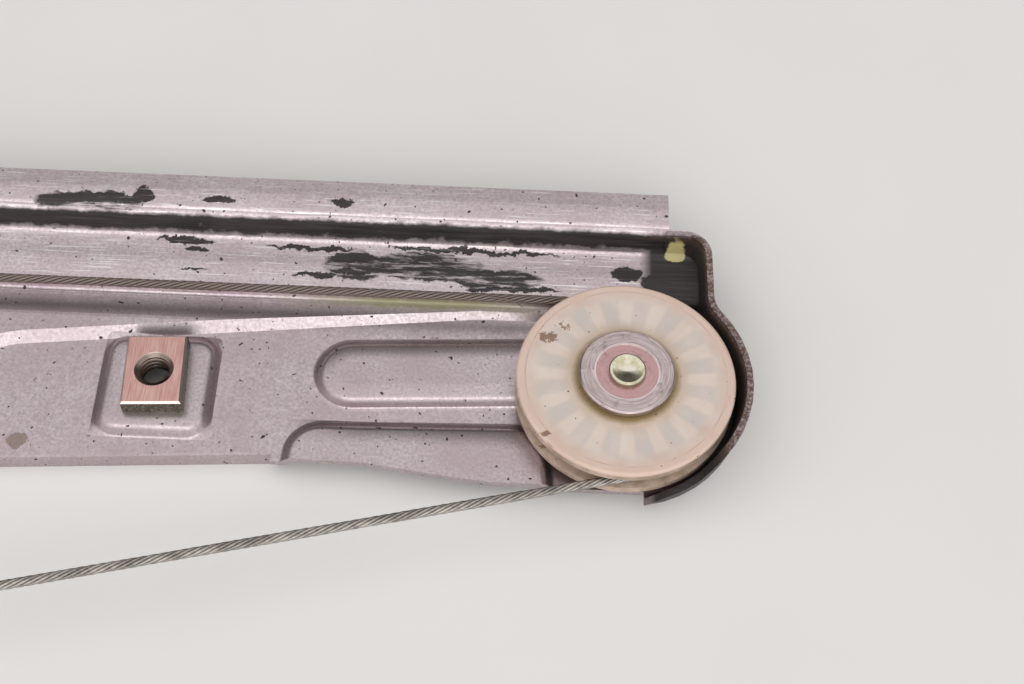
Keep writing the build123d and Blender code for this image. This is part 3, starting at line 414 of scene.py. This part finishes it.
def peened_rivet():
    """Peened rivet: burnished crown with a yellow passivated film, a painted highlight at its centre and
    painted shade round its edge.
    """
    material, tree = new_material("peened_steel")
    place = in_millimetres(tree)
    radius, _, _ = polar(tree, place)
    cloud = add(tree, "TexNoise", {"Vector": place, "Scale": 1 / 1.1, "Detail": 4.0, "Roughness": 0.6}, "Fac")
    clouded = add(tree, "MapRange", {"Value": cloud, "From Min": 0.36, "From Max": 0.64})
    tone = add(tree, "Mix", {0: clouded, 6: "#C9C3A0", 7: "#EDE9D6"}, 2, data_type="RGBA")
    finish = {"Base Color": tone, "Roughness": 0.26, "Metallic": 1.0}
    # lighter at the centre: painted highlight in the dimple
    centre = add(tree, "MapRange", {"Value": radius, "From Min": 0.7, "From Max": 1.3, "To Min": 0.8,
                                    "To Max": 0.0})
    finish = lay_over(tree, finish, centre, {"Base Color": "#E4DCD0", "Roughness": 0.22})
    # darker ring round the crown's edge: painted shade where the crown meets the face
    edge = add(tree, "MapRange", {"Value": radius, "From Min": RIVET_CROWN - 0.25, "From Max": RIVET_CROWN,
                                  "To Max": 0.6})
    finish = lay_over(tree, finish, edge, {"Base Color": "#6B5A50", "Roughness": 0.5})
    surface(tree, finish, cloud, 0.3, 0.05)
    return material


def brushed_nut():
    """Block nut sheared from bar: a brushed top, rosy from a painted reflection of red surroundings; grey
    speckled sheared sides, darker partly from painted shade; a painted highlight along the chamfer.
    """
    material, tree = new_material("brushed_block_nut")
    place = in_millimetres(tree)
    x, y, z = split(tree, place)
    drawn = in_millimetres(tree, (1.0, 0.05, 1.0))
    lines = add(tree, "TexNoise", {"Vector": drawn, "Scale": 1 / 0.22, "Detail": 3.0,
                                   "Roughness": 0.6}, "Fac")
    speck = add(tree, "TexNoise", {"Vector": place, "Scale": 1 / 0.45, "Detail": 4.0,
                                   "Roughness": 0.75}, "Fac")
    brushed = add(tree, "MapRange", {"Value": lines, "From Min": 0.32, "From Max": 0.68})
    # the top's rosy tint is a painted reflection of red surroundings
    top = add(tree, "Mix", {0: brushed, 6: "#C4938C", 7: "#E2BDB4"}, 2, data_type="RGBA")
    sheared = add(tree, "MapRange", {"Value": speck, "From Min": 0.38, "From Max": 0.62})
    # the sides: speckled shear, their darker grey partly painted shade
    side = add(tree, "Mix", {0: sheared, 6: "#38352D", 7: "#8A8778"}, 2, data_type="RGBA")
    on_top = add(tree, "MapRange", {"Value": z, "From Min": NUT_TOP - 0.06, "From Max": NUT_TOP - 0.02})
    finish = {"Base Color": side, "Roughness": 0.42, "Metallic": 1.0}
    finish = lay_over(tree, finish, on_top, {"Base Color": top, "Roughness": 0.38})
    # painted highlight along the chamfer at the top edge
    chamfer_highlight = within(tree, z, NUT_TOP - 0.34, NUT_TOP - 0.04, 0.03)
    finish = lay_over(tree, finish, chamfer_highlight, {"Base Color": "#E6DBD2", "Roughness": 0.28})
    arm = add(tree, "CombineXYZ", {
        "X": add(tree, "Math", {0: add(tree, "Math", {0: x}, operation="ABSOLUTE"), 1: NUT_X},
                 operation="SUBTRACT"),
        "Y": add(tree, "Math", {0: y, 1: PULLEY_Y}, operation="SUBTRACT")})
    radius = add(tree, "VectorMath", {0: arm}, "Value", operation="LENGTH")
    bore = add(tree, "MapRange", {"Value": radius, "From Min": 3.0, "From Max": 3.2, "To Min": 1.0,
                                  "To Max": 0.0})
    finish = lay_over(tree, finish, bore, {"Base Color": "#8F8078", "Roughness": 0.3})
    surface(tree, finish, lines, 0.3, 0.03)
    return material


def wire_rope():
    """Galvanised rope: grey wires, brown old grease in the lay on the run along the rail, and painted shade
    between the wires.
    """
    material, tree = new_material("galvanised_wire_rope")
    place = in_millimetres(tree)
    _, y, _ = split(tree, place)
    cloud = add(tree, "TexNoise", {"Vector": place, "Scale": 1 / 2.0, "Detail": 5.0, "Roughness": 0.7}, "Fac")
    clouded = add(tree, "MapRange", {"Value": cloud, "From Min": 0.38, "From Max": 0.62})
    tone = add(tree, "Mix", {0: clouded, 6: "#8D8883", 7: "#BDB7AF"}, 2, data_type="RGBA")
    finish = {"Base Color": tone, "Roughness": 0.36, "Metallic": 1.0}
    # darker in the lay between the wires from ambient occlusion: painted shade, with brown grease as well on
    # the run along the rail
    lay = add(tree, "AmbientOcclusion", {"Distance": 0.35 * MM}, "AO", samples=4)
    grease_and_lay_shade = add(tree, "MapRange", {"Value": lay, "From Min": 0.45, "From Max": 0.9, "To Min": 1.0,
                                  "To Max": 0.0})
    on_rail = add(tree, "MapRange", {"Value": y, "From Min": 60.0, "From Max": 63.0})
    caked = add(tree, "MapRange", {"Value": on_rail, "To Min": 0.35})
    grease_and_lay_shade = add(tree, "Math", {0: grease_and_lay_shade, 1: caked}, operation="MULTIPLY")
    finish = lay_over(tree, finish, grease_and_lay_shade, {"Base Color": "#2E2420", "Roughness": 0.6, "Metallic": 0.0})
    film = add(tree, "Math", {0: on_rail, 1: 0.85}, operation="MULTIPLY")
    patchy = add(tree, "MapRange", {"Value": cloud, "From Min": 0.35, "From Max": 0.65, "To Min": 0.55})
    film = add(tree, "Math", {0: film, 1: patchy}, operation="MULTIPLY")
    finish = lay_over(tree, finish, film, {"Base Color": "#6B5752", "Roughness": 0.42, "Metallic": 0.6})
    surface(tree, finish, cloud, 0.2, 0.02)
    return material


def die_cast():
    """Zinc die casting: dull grey skin with flow marks and bright worn spots."""
    material, tree = new_material("zinc_die_casting")
    place = in_millimetres(tree)
    flow = add(tree, "TexNoise", {"Vector": place, "Scale": 1 / 5, "Detail": 4.0, "Roughness": 0.55,
                                  "Distortion": 1.2}, "Fac")
    skin = add(tree, "TexNoise", {"Vector": place, "Scale": 1 / 0.4, "Detail": 3.0, "Roughness": 0.7}, "Fac")
    flowed = add(tree, "MapRange", {"Value": flow, "From Min": 0.35, "From Max": 0.65})
    tone = add(tree, "Mix", {0: flowed, 6: "#84827F", 7: "#A6A4A0"}, 2, data_type="RGBA")
    finish = {"Base Color": tone, "Roughness": 0.5, "Metallic": 1.0}
    bright = add(tree, "MapRange", {"Value": skin, "From Min": 0.62, "From Max": 0.72})
    finish = lay_over(tree, finish, bright, {"Base Color": "#C4C2BE", "Roughness": 0.35})
    surface(tree, finish, skin, 0.4, 0.05)
    return material


# --- plastics and rubber ----------------------------------------------------------------

SCUFFS = [(227.5, 57.8, 1.5, 1.0), (230.0, 59.8, 0.8, 0.5)]
STAIN = [(227.4, 40.2, 1.0, 0.4)]


def natural_nylon():
    """Natural nylon: waxy cream, translucent enough for the ribs under the face to show as
    pale bars between greyer windows; oily round the bush and scuffed near the rim."""
    material, tree = new_material("natural_nylon")
    place = in_millimetres(tree)
    radius, angle, _ = polar(tree, place)
    _, _, z = split(tree, place)
    cloud = add(tree, "TexNoise", {"Vector": place, "Scale": 1 / 5, "Detail": 4.0, "Roughness": 0.55}, "Fac")
    clouded = add(tree, "MapRange", {"Value": cloud, "From Min": 0.35, "From Max": 0.65})
    tone = add(tree, "Mix", {0: clouded, 6: "#D0BCB0", 7: "#DDCFC6"}, 2, data_type="RGBA")
    rough = add(tree, "MapRange", {"Value": cloud, "From Min": 0.3, "From Max": 0.7, "To Min": 0.32,
                                   "To Max": 0.46})
    finish = {"Base Color": tone, "Roughness": rough, "Metallic": 0.0}

    # windows between the ribs, seen through the face
    turn = add(tree, "Math", {0: angle, 1: PULLEY_RIBS / 2}, operation="MULTIPLY")
    swing = add(tree, "Math", {0: turn}, operation="SINE")
    swing = add(tree, "Math", {0: swing}, operation="ABSOLUTE")
    wave = add(tree, "MapRange", {"Value": swing, "From Min": 0.5, "From Max": 0.78})
    ring = within(tree, radius, 9.6, 14.4, 0.5)
    window = add(tree, "Math", {0: wave, 1: ring}, operation="MULTIPLY")
    faded = add(tree, "MapRange", {"Value": cloud, "From Min": 0.3, "From Max": 0.7, "To Min": 0.9,
                                   "To Max": 0.4})
    window = add(tree, "Math", {0: window, 1: faded}, operation="MULTIPLY")
    finish = lay_over(tree, finish, window, {"Base Color": "#CCC5BF"})
    bars = add(tree, "Math", {0: 1.0, 1: wave}, operation="SUBTRACT")
    bars = add(tree, "Math", {0: bars, 1: ring}, operation="MULTIPLY")
    bars = add(tree, "Math", {0: bars, 1: 0.4}, operation="MULTIPLY")
    finish = lay_over(tree, finish, bars, {"Base Color": "#E9DCD0"})

    # rosier where the rim is thick, with a thin dark ring inside it, painted shade of a moulded groove
    outer = add(tree, "MapRange", {"Value": radius, "From Min": 14.6, "From Max": 16.4, "To Max": 0.6})
    finish = lay_over(tree, finish, outer, {"Base Color": "#DDBFAE"})
    # the thin dark ring: painted shade of a moulded groove
    line = within(tree, radius, 16.0, 16.15, 0.08)
    broken = add(tree, "MapRange", {"Value": cloud, "From Min": 0.4, "From Max": 0.6, "To Max": 0.6})
    line = add(tree, "Math", {0: line, 1: broken}, operation="MULTIPLY")
    finish = lay_over(tree, finish, line, {"Base Color": "#A98674"})

    # olive grease squeezed out round the bush, and brown down the side below the face, grease with painted
    # shade
    torn = ragged(tree, place, 0.35, 2.0)
    torn_radius, _, _ = polar(tree, torn)
    halo = add(tree, "MapRange", {"Value": torn_radius, "From Min": BUSH_FLANGE + 0.3,
                                  "From Max": BUSH_FLANGE + 1.3, "To Min": 1.0, "To Max": 0.0})
    finish = lay_over(tree, finish, halo, {"Base Color": "#6E5C30", "Roughness": 0.3})
    wide_halo = add(tree, "MapRange", {"Value": torn_radius, "From Min": BUSH_FLANGE + 0.8,
                                       "From Max": BUSH_FLANGE + 3.4, "To Min": 0.35, "To Max": 0.0})
    finish = lay_over(tree, finish, wide_halo, {"Base Color": "#C9AE84"})
    # down the side below the face: brown grease with painted shade, in patches
    side = add(tree, "MapRange", {"Value": z, "From Min": PULLEY_FACE - 0.9, "From Max": PULLEY_FACE - 0.4,
                                  "To Min": 0.8, "To Max": 0.0})
    side_grease_and_shade = add(tree, "TexNoise", {"Vector": place, "Scale": 1 / 4, "Detail": 5.0, "Roughness": 0.7}, "Fac")
    side_grease_and_shade = add(tree, "MapRange", {"Value": side_grease_and_shade, "From Min": 0.36, "From Max": 0.6, "To Min": 0.3})
    side = add(tree, "Math", {0: side, 1: side_grease_and_shade}, operation="MULTIPLY")
    finish = lay_over(tree, finish, side, {"Base Color": "#8A775E", "Roughness": 0.35})

    # scuffs and a stain picked up in use, and specks of grit
    scuff = patches(tree, ragged(tree, place, 2.2, 0.7), SCUFFS)
    stain = patches(tree, ragged(tree, place, 0.9, 0.9), STAIN)
    marks = add(tree, "Math", {0: scuff, 1: stain}, operation="MAXIMUM")
    marks = add(tree, "Math", {0: marks, 1: 0.8}, operation="MULTIPLY")
    finish = lay_over(tree, finish, marks, {"Base Color": "#7A5230", "Roughness": 0.5})
    scraped = add(tree, "CombineXYZ", {"X": radius, "Y": add(tree, "Math", {0: angle, 1: 1.5},
                                                            operation="MULTIPLY")})
    rubs = add(tree, "TexNoise", {"Vector": scraped, "Scale": 1 / 0.8, "Detail": 4.0,
                                  "Roughness": 0.7}, "Fac")
    rubs = add(tree, "MapRange", {"Value": rubs, "From Min": 0.66, "From Max": 0.72, "To Max": 0.45})
    near_rim = add(tree, "MapRange", {"Value": radius, "From Min": 15.2, "From Max": 16.0})
    rubs = add(tree, "Math", {0: rubs, 1: near_rim}, operation="MULTIPLY")
    finish = lay_over(tree, finish, rubs, {"Base Color": "#8C5F48"})
    grit = add(tree, "TexNoise", {"Vector": place, "Scale": 1 / 0.7, "Detail": 1.0}, "Fac")
    grit = add(tree, "MapRange", {"Value": grit, "From Min": 0.75, "From Max": 0.78})
    finish = lay_over(tree, finish, grit, {"Base Color": "#4A3A30"})

    shader = surface(tree, finish, cloud, 0.15, 0.05)
    shader.inputs["IOR"].default_value = 1.53
    shader.inputs["Subsurface Weight"].default_value = 0.25
    shader.inputs["Subsurface Radius"].default_value = (1.0, 0.75, 0.55)
    shader.inputs["Subsurface Scale"].default_value = 1.0 * MM
    return material


def moulded(name, light, dark, roughness, spark, subsurface=0.0):
    """Injection moulded plastic or rubber: an even tone, the spark texture of the tool,
    and a paler dusting."""
    material, tree = new_material(name)
    place = in_millimetres(tree)
    cloud = add(tree, "TexNoise", {"Vector": place, "Scale": 1 / 9, "Detail": 5.0, "Roughness": 0.6}, "Fac")
    texture = add(tree, "TexNoise", {"Vector": place, "Scale": 1 / spark, "Detail": 2.0,
                                     "Roughness": 0.6}, "Fac")
    clouded = add(tree, "MapRange", {"Value": cloud, "From Min": 0.35, "From Max": 0.65})
    tone = add(tree, "Mix", {0: clouded, 6: dark, 7: light}, 2, data_type="RGBA")
    rough = add(tree, "MapRange", {"Value": texture, "From Min": 0.3, "From Max": 0.7,
                                   "To Min": roughness - 0.06, "To Max": roughness + 0.08})
    finish = {"Base Color": tone, "Roughness": rough, "Metallic": 0.0}
    dust = add(tree, "MapRange", {"Value": cloud, "From Min": 0.6, "From Max": 0.75, "To Max": 0.25})
    finish = lay_over(tree, finish, dust, {"Base Color": "#9A948C", "Roughness": 0.8})
    shader = surface(tree, finish, texture, 0.35, 0.05)
    shader.inputs["IOR"].default_value = 1.5
    shader.inputs["Subsurface Weight"].default_value = subsurface
    shader.inputs["Subsurface Scale"].default_value = 1.0 * MM
    return material


# --- dressing the CAD nodes -------------------------------------------------------------

rope = wire_rope()
bush_steel = turned_bush()
nut_steel = brushed_nut()

FINISH_OF_SLOT = {
    "zinc_plated_sheet": zinc_plated_sheet(),
    "plated_steel": plated_steel("zinc_plated_steel", "#C9C2BE", "#A39C98", 0.34),
    "rivet_steel": peened_rivet(),
    "natural_nylon": natural_nylon(),
    "black_nylon": moulded("glass_filled_nylon", "#2B2B2D", "#1D1D1F", 0.5, 0.35),
    "acetal": moulded("white_acetal", "#E2E0D8", "#CFCCC3", 0.38, 0.5, 0.15),
    "wire_rope": rope,
    "brass": plated_steel("turned_brass", "#D8B56C", "#A98542", 0.3),
    "rubber": moulded("moulded_rubber", "#2A2A29", "#1B1B1A", 0.72, 0.6),
    "zinc_die_cast": die_cast(),
}
FINISH_OF_NODE = {
    "upper_pulley_bush": bush_steel, "lower_pulley_bush": bush_steel,
    "upper_weld_nut": nut_steel, "lower_weld_nut": nut_steel,
}


def paint_node(name, material):
    slots = nodes[name].data.materials
    slots.clear()
    slots.append(material)


for name, node in nodes.items():
    slot = node.data.materials[0].name.split(".")[0]
    paint_node(name, FINISH_OF_NODE.get(name, FINISH_OF_SLOT[slot]))


# --- new pieces: helpers -----------------------------------------------------------------

def place_piece(name, mesh, material, body="rail_frame"):
    mesh.materials.clear()
    mesh.materials.append(material)
    piece = bpy.data.objects.new(name, mesh)
    bpy.context.scene.collection.objects.link(piece)
    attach(piece, body)
    return piece


def curve_mesh(name, curve):
    """The mesh of a curve."""
    holder = bpy.data.objects.new(name + "_curve", curve)
    bpy.context.scene.collection.objects.link(holder)
    mesh = bpy.data.meshes.new_from_object(holder)
    bpy.data.objects.remove(holder)
    mesh.name = name
    return mesh


# --- threads in the block nuts --------------------------------------------------------------

def nut_thread(name, side):
    """Rolled ridges of an M6 thread standing in a nut's bore."""
    tip, root, half = 2.12, NUT_BORE + 0.05, 0.46
    low, high = NUT_FOOT + 0.5, NUT_TOP - 0.75
    turns = (high - low) / THREAD_PITCH
    steps = round(turns * 36)
    shape = bmesh.new()
    corners = [shape.verts.new(Vector(p) * MM) for p in
               ((root, 0, low - half), (tip, 0, low - 0.06), (tip, 0, low + 0.06), (root, 0, low + half))]
    edges = [shape.edges.new(pair) for pair in zip(corners, corners[1:])]
    bmesh.ops.spin(shape, geom=corners + edges, cent=(0, 0, 0), axis=(0, 0, 1), angle=2 * math.pi * turns,
                   steps=steps, dvec=(0, 0, (high - low) * MM / steps), use_merge=False)
    bmesh.ops.translate(shape, verts=shape.verts, vec=(side * NUT_X * MM, PULLEY_Y * MM, 0))
    bmesh.ops.recalc_face_normals(shape, faces=shape.faces)
    facing = sum(f.normal.dot(f.calc_center_median() - Vector((side * NUT_X, PULLEY_Y, 3.4)) * MM)
                 for f in shape.faces)
    if facing > 0:
        bmesh.ops.reverse_faces(shape, faces=shape.faces)
    for face in shape.faces:
        face.smooth = True
    mesh = bpy.data.meshes.new(name)
    shape.to_mesh(mesh)
    shape.free()
    return place_piece(name, mesh, nut_steel)


nut_thread("upper_nut_thread", 1)
nut_thread("lower_nut_thread", -1)


# --- stranded cables ----------------------------------------------------------------

# in metres, but for the two angles in degrees
HALF_SPAN = PULLEY_X * MM
PULLEY_LINE = PULLEY_Y * MM
PULLEY_PITCH = 15.9 * MM
DRUM_PITCH = 22 * MM
CABLE_LEVEL = 6 * MM
CABLE_RADIUS = 0.75 * MM
STRAND_RADIUS = 0.27 * MM
LAY = 9 * MM
STRANDS = 6
STRAND_STEP = 0.45 * MM
DRUM_WRAP = 250.0
WRAP_STEP = 30.0


def around(centre, radius, first, sweep, level):
    """Control points that carry a quadratic spline round a pulley, clockwise."""
    steps = math.ceil(sweep / WRAP_STEP)
    half = math.radians(sweep / steps / 2)
    points = []
    for step in range(-1, steps + 1):
        angle = math.radians(first) - (2 * step + 1) * half
        reach = radius / math.cos(half)
        x = centre[0] + reach * math.cos(angle)
        y = centre[1] + reach * math.sin(angle)
        points.append(Vector((x, y, level)))
    return points


def cable_points(drum_level, side):
    """Mid rail, round the pulley, down to the drum and round it."""
    lean = math.degrees(math.atan2(PULLEY_LINE, HALF_SPAN))
    distance = math.hypot(HALF_SPAN, PULLEY_LINE)
    leave = lean - math.degrees(math.acos((DRUM_PITCH - PULLEY_PITCH) / distance))
    points = [Vector((0, PULLEY_LINE + PULLEY_PITCH, CABLE_LEVEL))]
    points += around((HALF_SPAN, PULLEY_LINE), PULLEY_PITCH, 90.0, 90.0 - leave, CABLE_LEVEL)
    points += around((0, 0), DRUM_PITCH, leave, DRUM_WRAP, drum_level)
    return [Vector((side * p.x, p.y, p.z)) for p in points]


def route_line(name, control):
    """Points along the smooth line through a list of control points."""
    curve = bpy.data.curves.new(name + "_route", "CURVE")
    curve.dimensions = "3D"
    curve.resolution_u = 24
    spline = curve.splines.new("NURBS")
    spline.points.add(len(control) - 1)
    for point, place in zip(spline.points, control):
        point.co = (*place, 1.0)
    spline.order_u = 3
    spline.use_endpoint_u = True
    mesh = curve_mesh(name + "_route", curve)
    line = [v.co.copy() for v in mesh.vertices]
    bpy.data.meshes.remove(mesh)
    return line


def even_points(line, step):
    """Points a fixed step apart along a line."""
    spots = [line[0]]
    left = step
    for start, end in zip(line, line[1:]):
        length = (end - start).length
        while left <= length:
            spots.append(start.lerp(end, left / length))
            left += step
        left -= length
    return spots


def strand_curves(name, line, step):
    """Strands laid round a line, as one curve."""
    spots = even_points(line, step)
    curve = bpy.data.curves.new(name, "CURVE")
    curve.dimensions = "3D"
    curve.bevel_depth = STRAND_RADIUS
    curve.bevel_resolution = 1
    curve.use_fill_caps = True
    ring_radius = CABLE_RADIUS - STRAND_RADIUS
    for strand in range(STRANDS):
        spline = curve.splines.new("POLY")
        spline.points.add(len(spots) - 1)
        for index, spot in enumerate(spots):
            ahead = spots[min(index + 1, len(spots) - 1)] - spots[max(index - 1, 0)]
            side = ahead.cross(Vector((0, 0, 1))).normalized()
            up = side.cross(ahead).normalized()
            turn = 2 * math.pi * (index * step / LAY + strand / STRANDS)
            place = spot + ring_radius * (math.cos(turn) * side + math.sin(turn) * up)
            spline.points[index].co = (*place, 1.0)
    return curve


def stranded_cable(node, drum_level, side):
    line = route_line(node, cable_points(drum_level, side))
    mesh = curve_mesh(node + "_strands", strand_curves(node + "_strands", line, STRAND_STEP))
    piece = place_piece(node + "_strands", mesh, rope)
    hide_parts(node)


stranded_cable("lift_cable", LIFT_GROOVE * MM, 1)
stranded_cable("lower_cable", LOWER_GROOVE * MM, -1)


def broken_wire():
    """One snapped wire standing out of the rope before the upper pulley."""
    curve = bpy.data.curves.new("broken_wire", "CURVE")
    curve.dimensions = "3D"
    curve.bevel_depth = 0.09 * MM
    curve.bevel_resolution = 1
    curve.use_fill_caps = True
    spline = curve.splines.new("NURBS")
    path = [(218.0, 66.5, 6.75), (220.0, 66.3, 6.8), (221.6, 65.8, 6.9), (222.6, 65.2, 7.0),
            (223.2, 64.6, 7.1)]
    spline.points.add(len(path) - 1)
    for point, place in zip(spline.points, path):
        point.co = (*(Vector(place) * MM), 1.0)
    spline.order_u = 3
    spline.use_endpoint_u = True
    place_piece("broken_wire", curve_mesh("broken_wire", curve), rope)


broken_wire()


# --- stage -------------------------------------------------------------------------

def floor():
    """Plain pale floor under the rail."""
    material, tree = new_material("pale_floor")
    place = in_millimetres(tree)
    cloud = add(tree, "TexNoise", {"Vector": place, "Scale": 1 / 40, "Detail": 3.0}, "Fac")
    tone = add(tree, "Mix", {0: cloud, 6: "#E6E5E3", 7: "#ECEBE9"}, 2, data_type="RGBA")
    shader = add(tree, "BsdfPrincipled", {"Base Color": tone, "Roughness": 0.9})
    add(tree, "OutputMaterial", {"Surface": shader})
    mesh = bpy.data.meshes.new("floor")
    shape = bmesh.new()
    bmesh.ops.create_grid(shape, x_segments=1, y_segments=1, size=3.0)
    bmesh.ops.translate(shape, verts=shape.verts, vec=(0, 0, cad_box[0][2] - 0.05 * MM))
    shape.to_mesh(mesh)
    shape.free()
    mesh.materials.append(material)
    piece = bpy.data.objects.new("floor", mesh)
    bpy.context.scene.collection.objects.link(piece)


def area_lamp(name, place, target, width, height, watts):
    data = bpy.data.lights.new(name, "AREA")
    data.shape = "RECTANGLE"
    data.size = width
    data.size_y = height
    data.energy = watts
    lamp = bpy.data.objects.new(name, data)
    bpy.context.scene.collection.objects.link(lamp)
    lamp.location = place
    lamp.rotation_euler = (Vector(target) - Vector(place)).to_track_quat("-Z", "Y").to_euler()


def studio():
    """A soft grey room, brightest overhead and in front, dim behind the guide lip."""
    world = bpy.data.worlds.new("studio")
    bpy.context.scene.world = world
    world.use_nodes = True
    tree = world.node_tree
    tree.nodes.clear()
    direction = add(tree, "TexCoord", output="Generated")
    facing = add(tree, "VectorMath", {0: direction, 1: (0.0, -0.6, 0.8)}, "Value", operation="DOT_PRODUCT")
    level = add(tree, "MapRange", {"Value": facing, "From Min": -0.08, "From Max": 0.4, "To Min": 0.06,
                                   "To Max": 1.08}, interpolation_type="SMOOTHSTEP")
    back = add(tree, "Background", {"Color": "#F6F4F3", "Strength": level})
    add(tree, "OutputWorld", {"Surface": back})


floor()
studio()
area_lamp("front_softbox", place=(0.15, -0.75, 0.65), target=(0.19, 0.06, 0), width=0.9, height=0.5,
          watts=1.6)


# --- camera ------------------------------------------------------------------------

FOCAL_PIXELS = 1500.0
FRAME_WIDTH = 1024
SENSOR = 36.0
CAMERA_PLACE = Vector((218.8, -70.2, 213.5)) * MM
CAMERA_FORWARD = Vector((0.012, 0.527, -0.850))
CAMERA_RIGHT = Vector((0.999, 0.0285, 0.0317))


def camera():
    data = bpy.data.cameras.new("view")
    data.sensor_width = SENSOR
    data.lens = FOCAL_PIXELS * SENSOR / FRAME_WIDTH
    data.clip_start = 0.01
    view = bpy.data.objects.new("view", data)
    bpy.context.scene.collection.objects.link(view)
    forward = CAMERA_FORWARD.normalized()
    right = (CAMERA_RIGHT - CAMERA_RIGHT.dot(forward) * forward).normalized()
    up = right.cross(forward)
    turn = Matrix((right, up, -forward)).transposed().to_4x4()
    view.matrix_world = Matrix.Translation(CAMERA_PLACE) @ turn
    bpy.context.scene.camera = view


camera()
bpy.context.scene.view_settings.view_transform = "Standard"
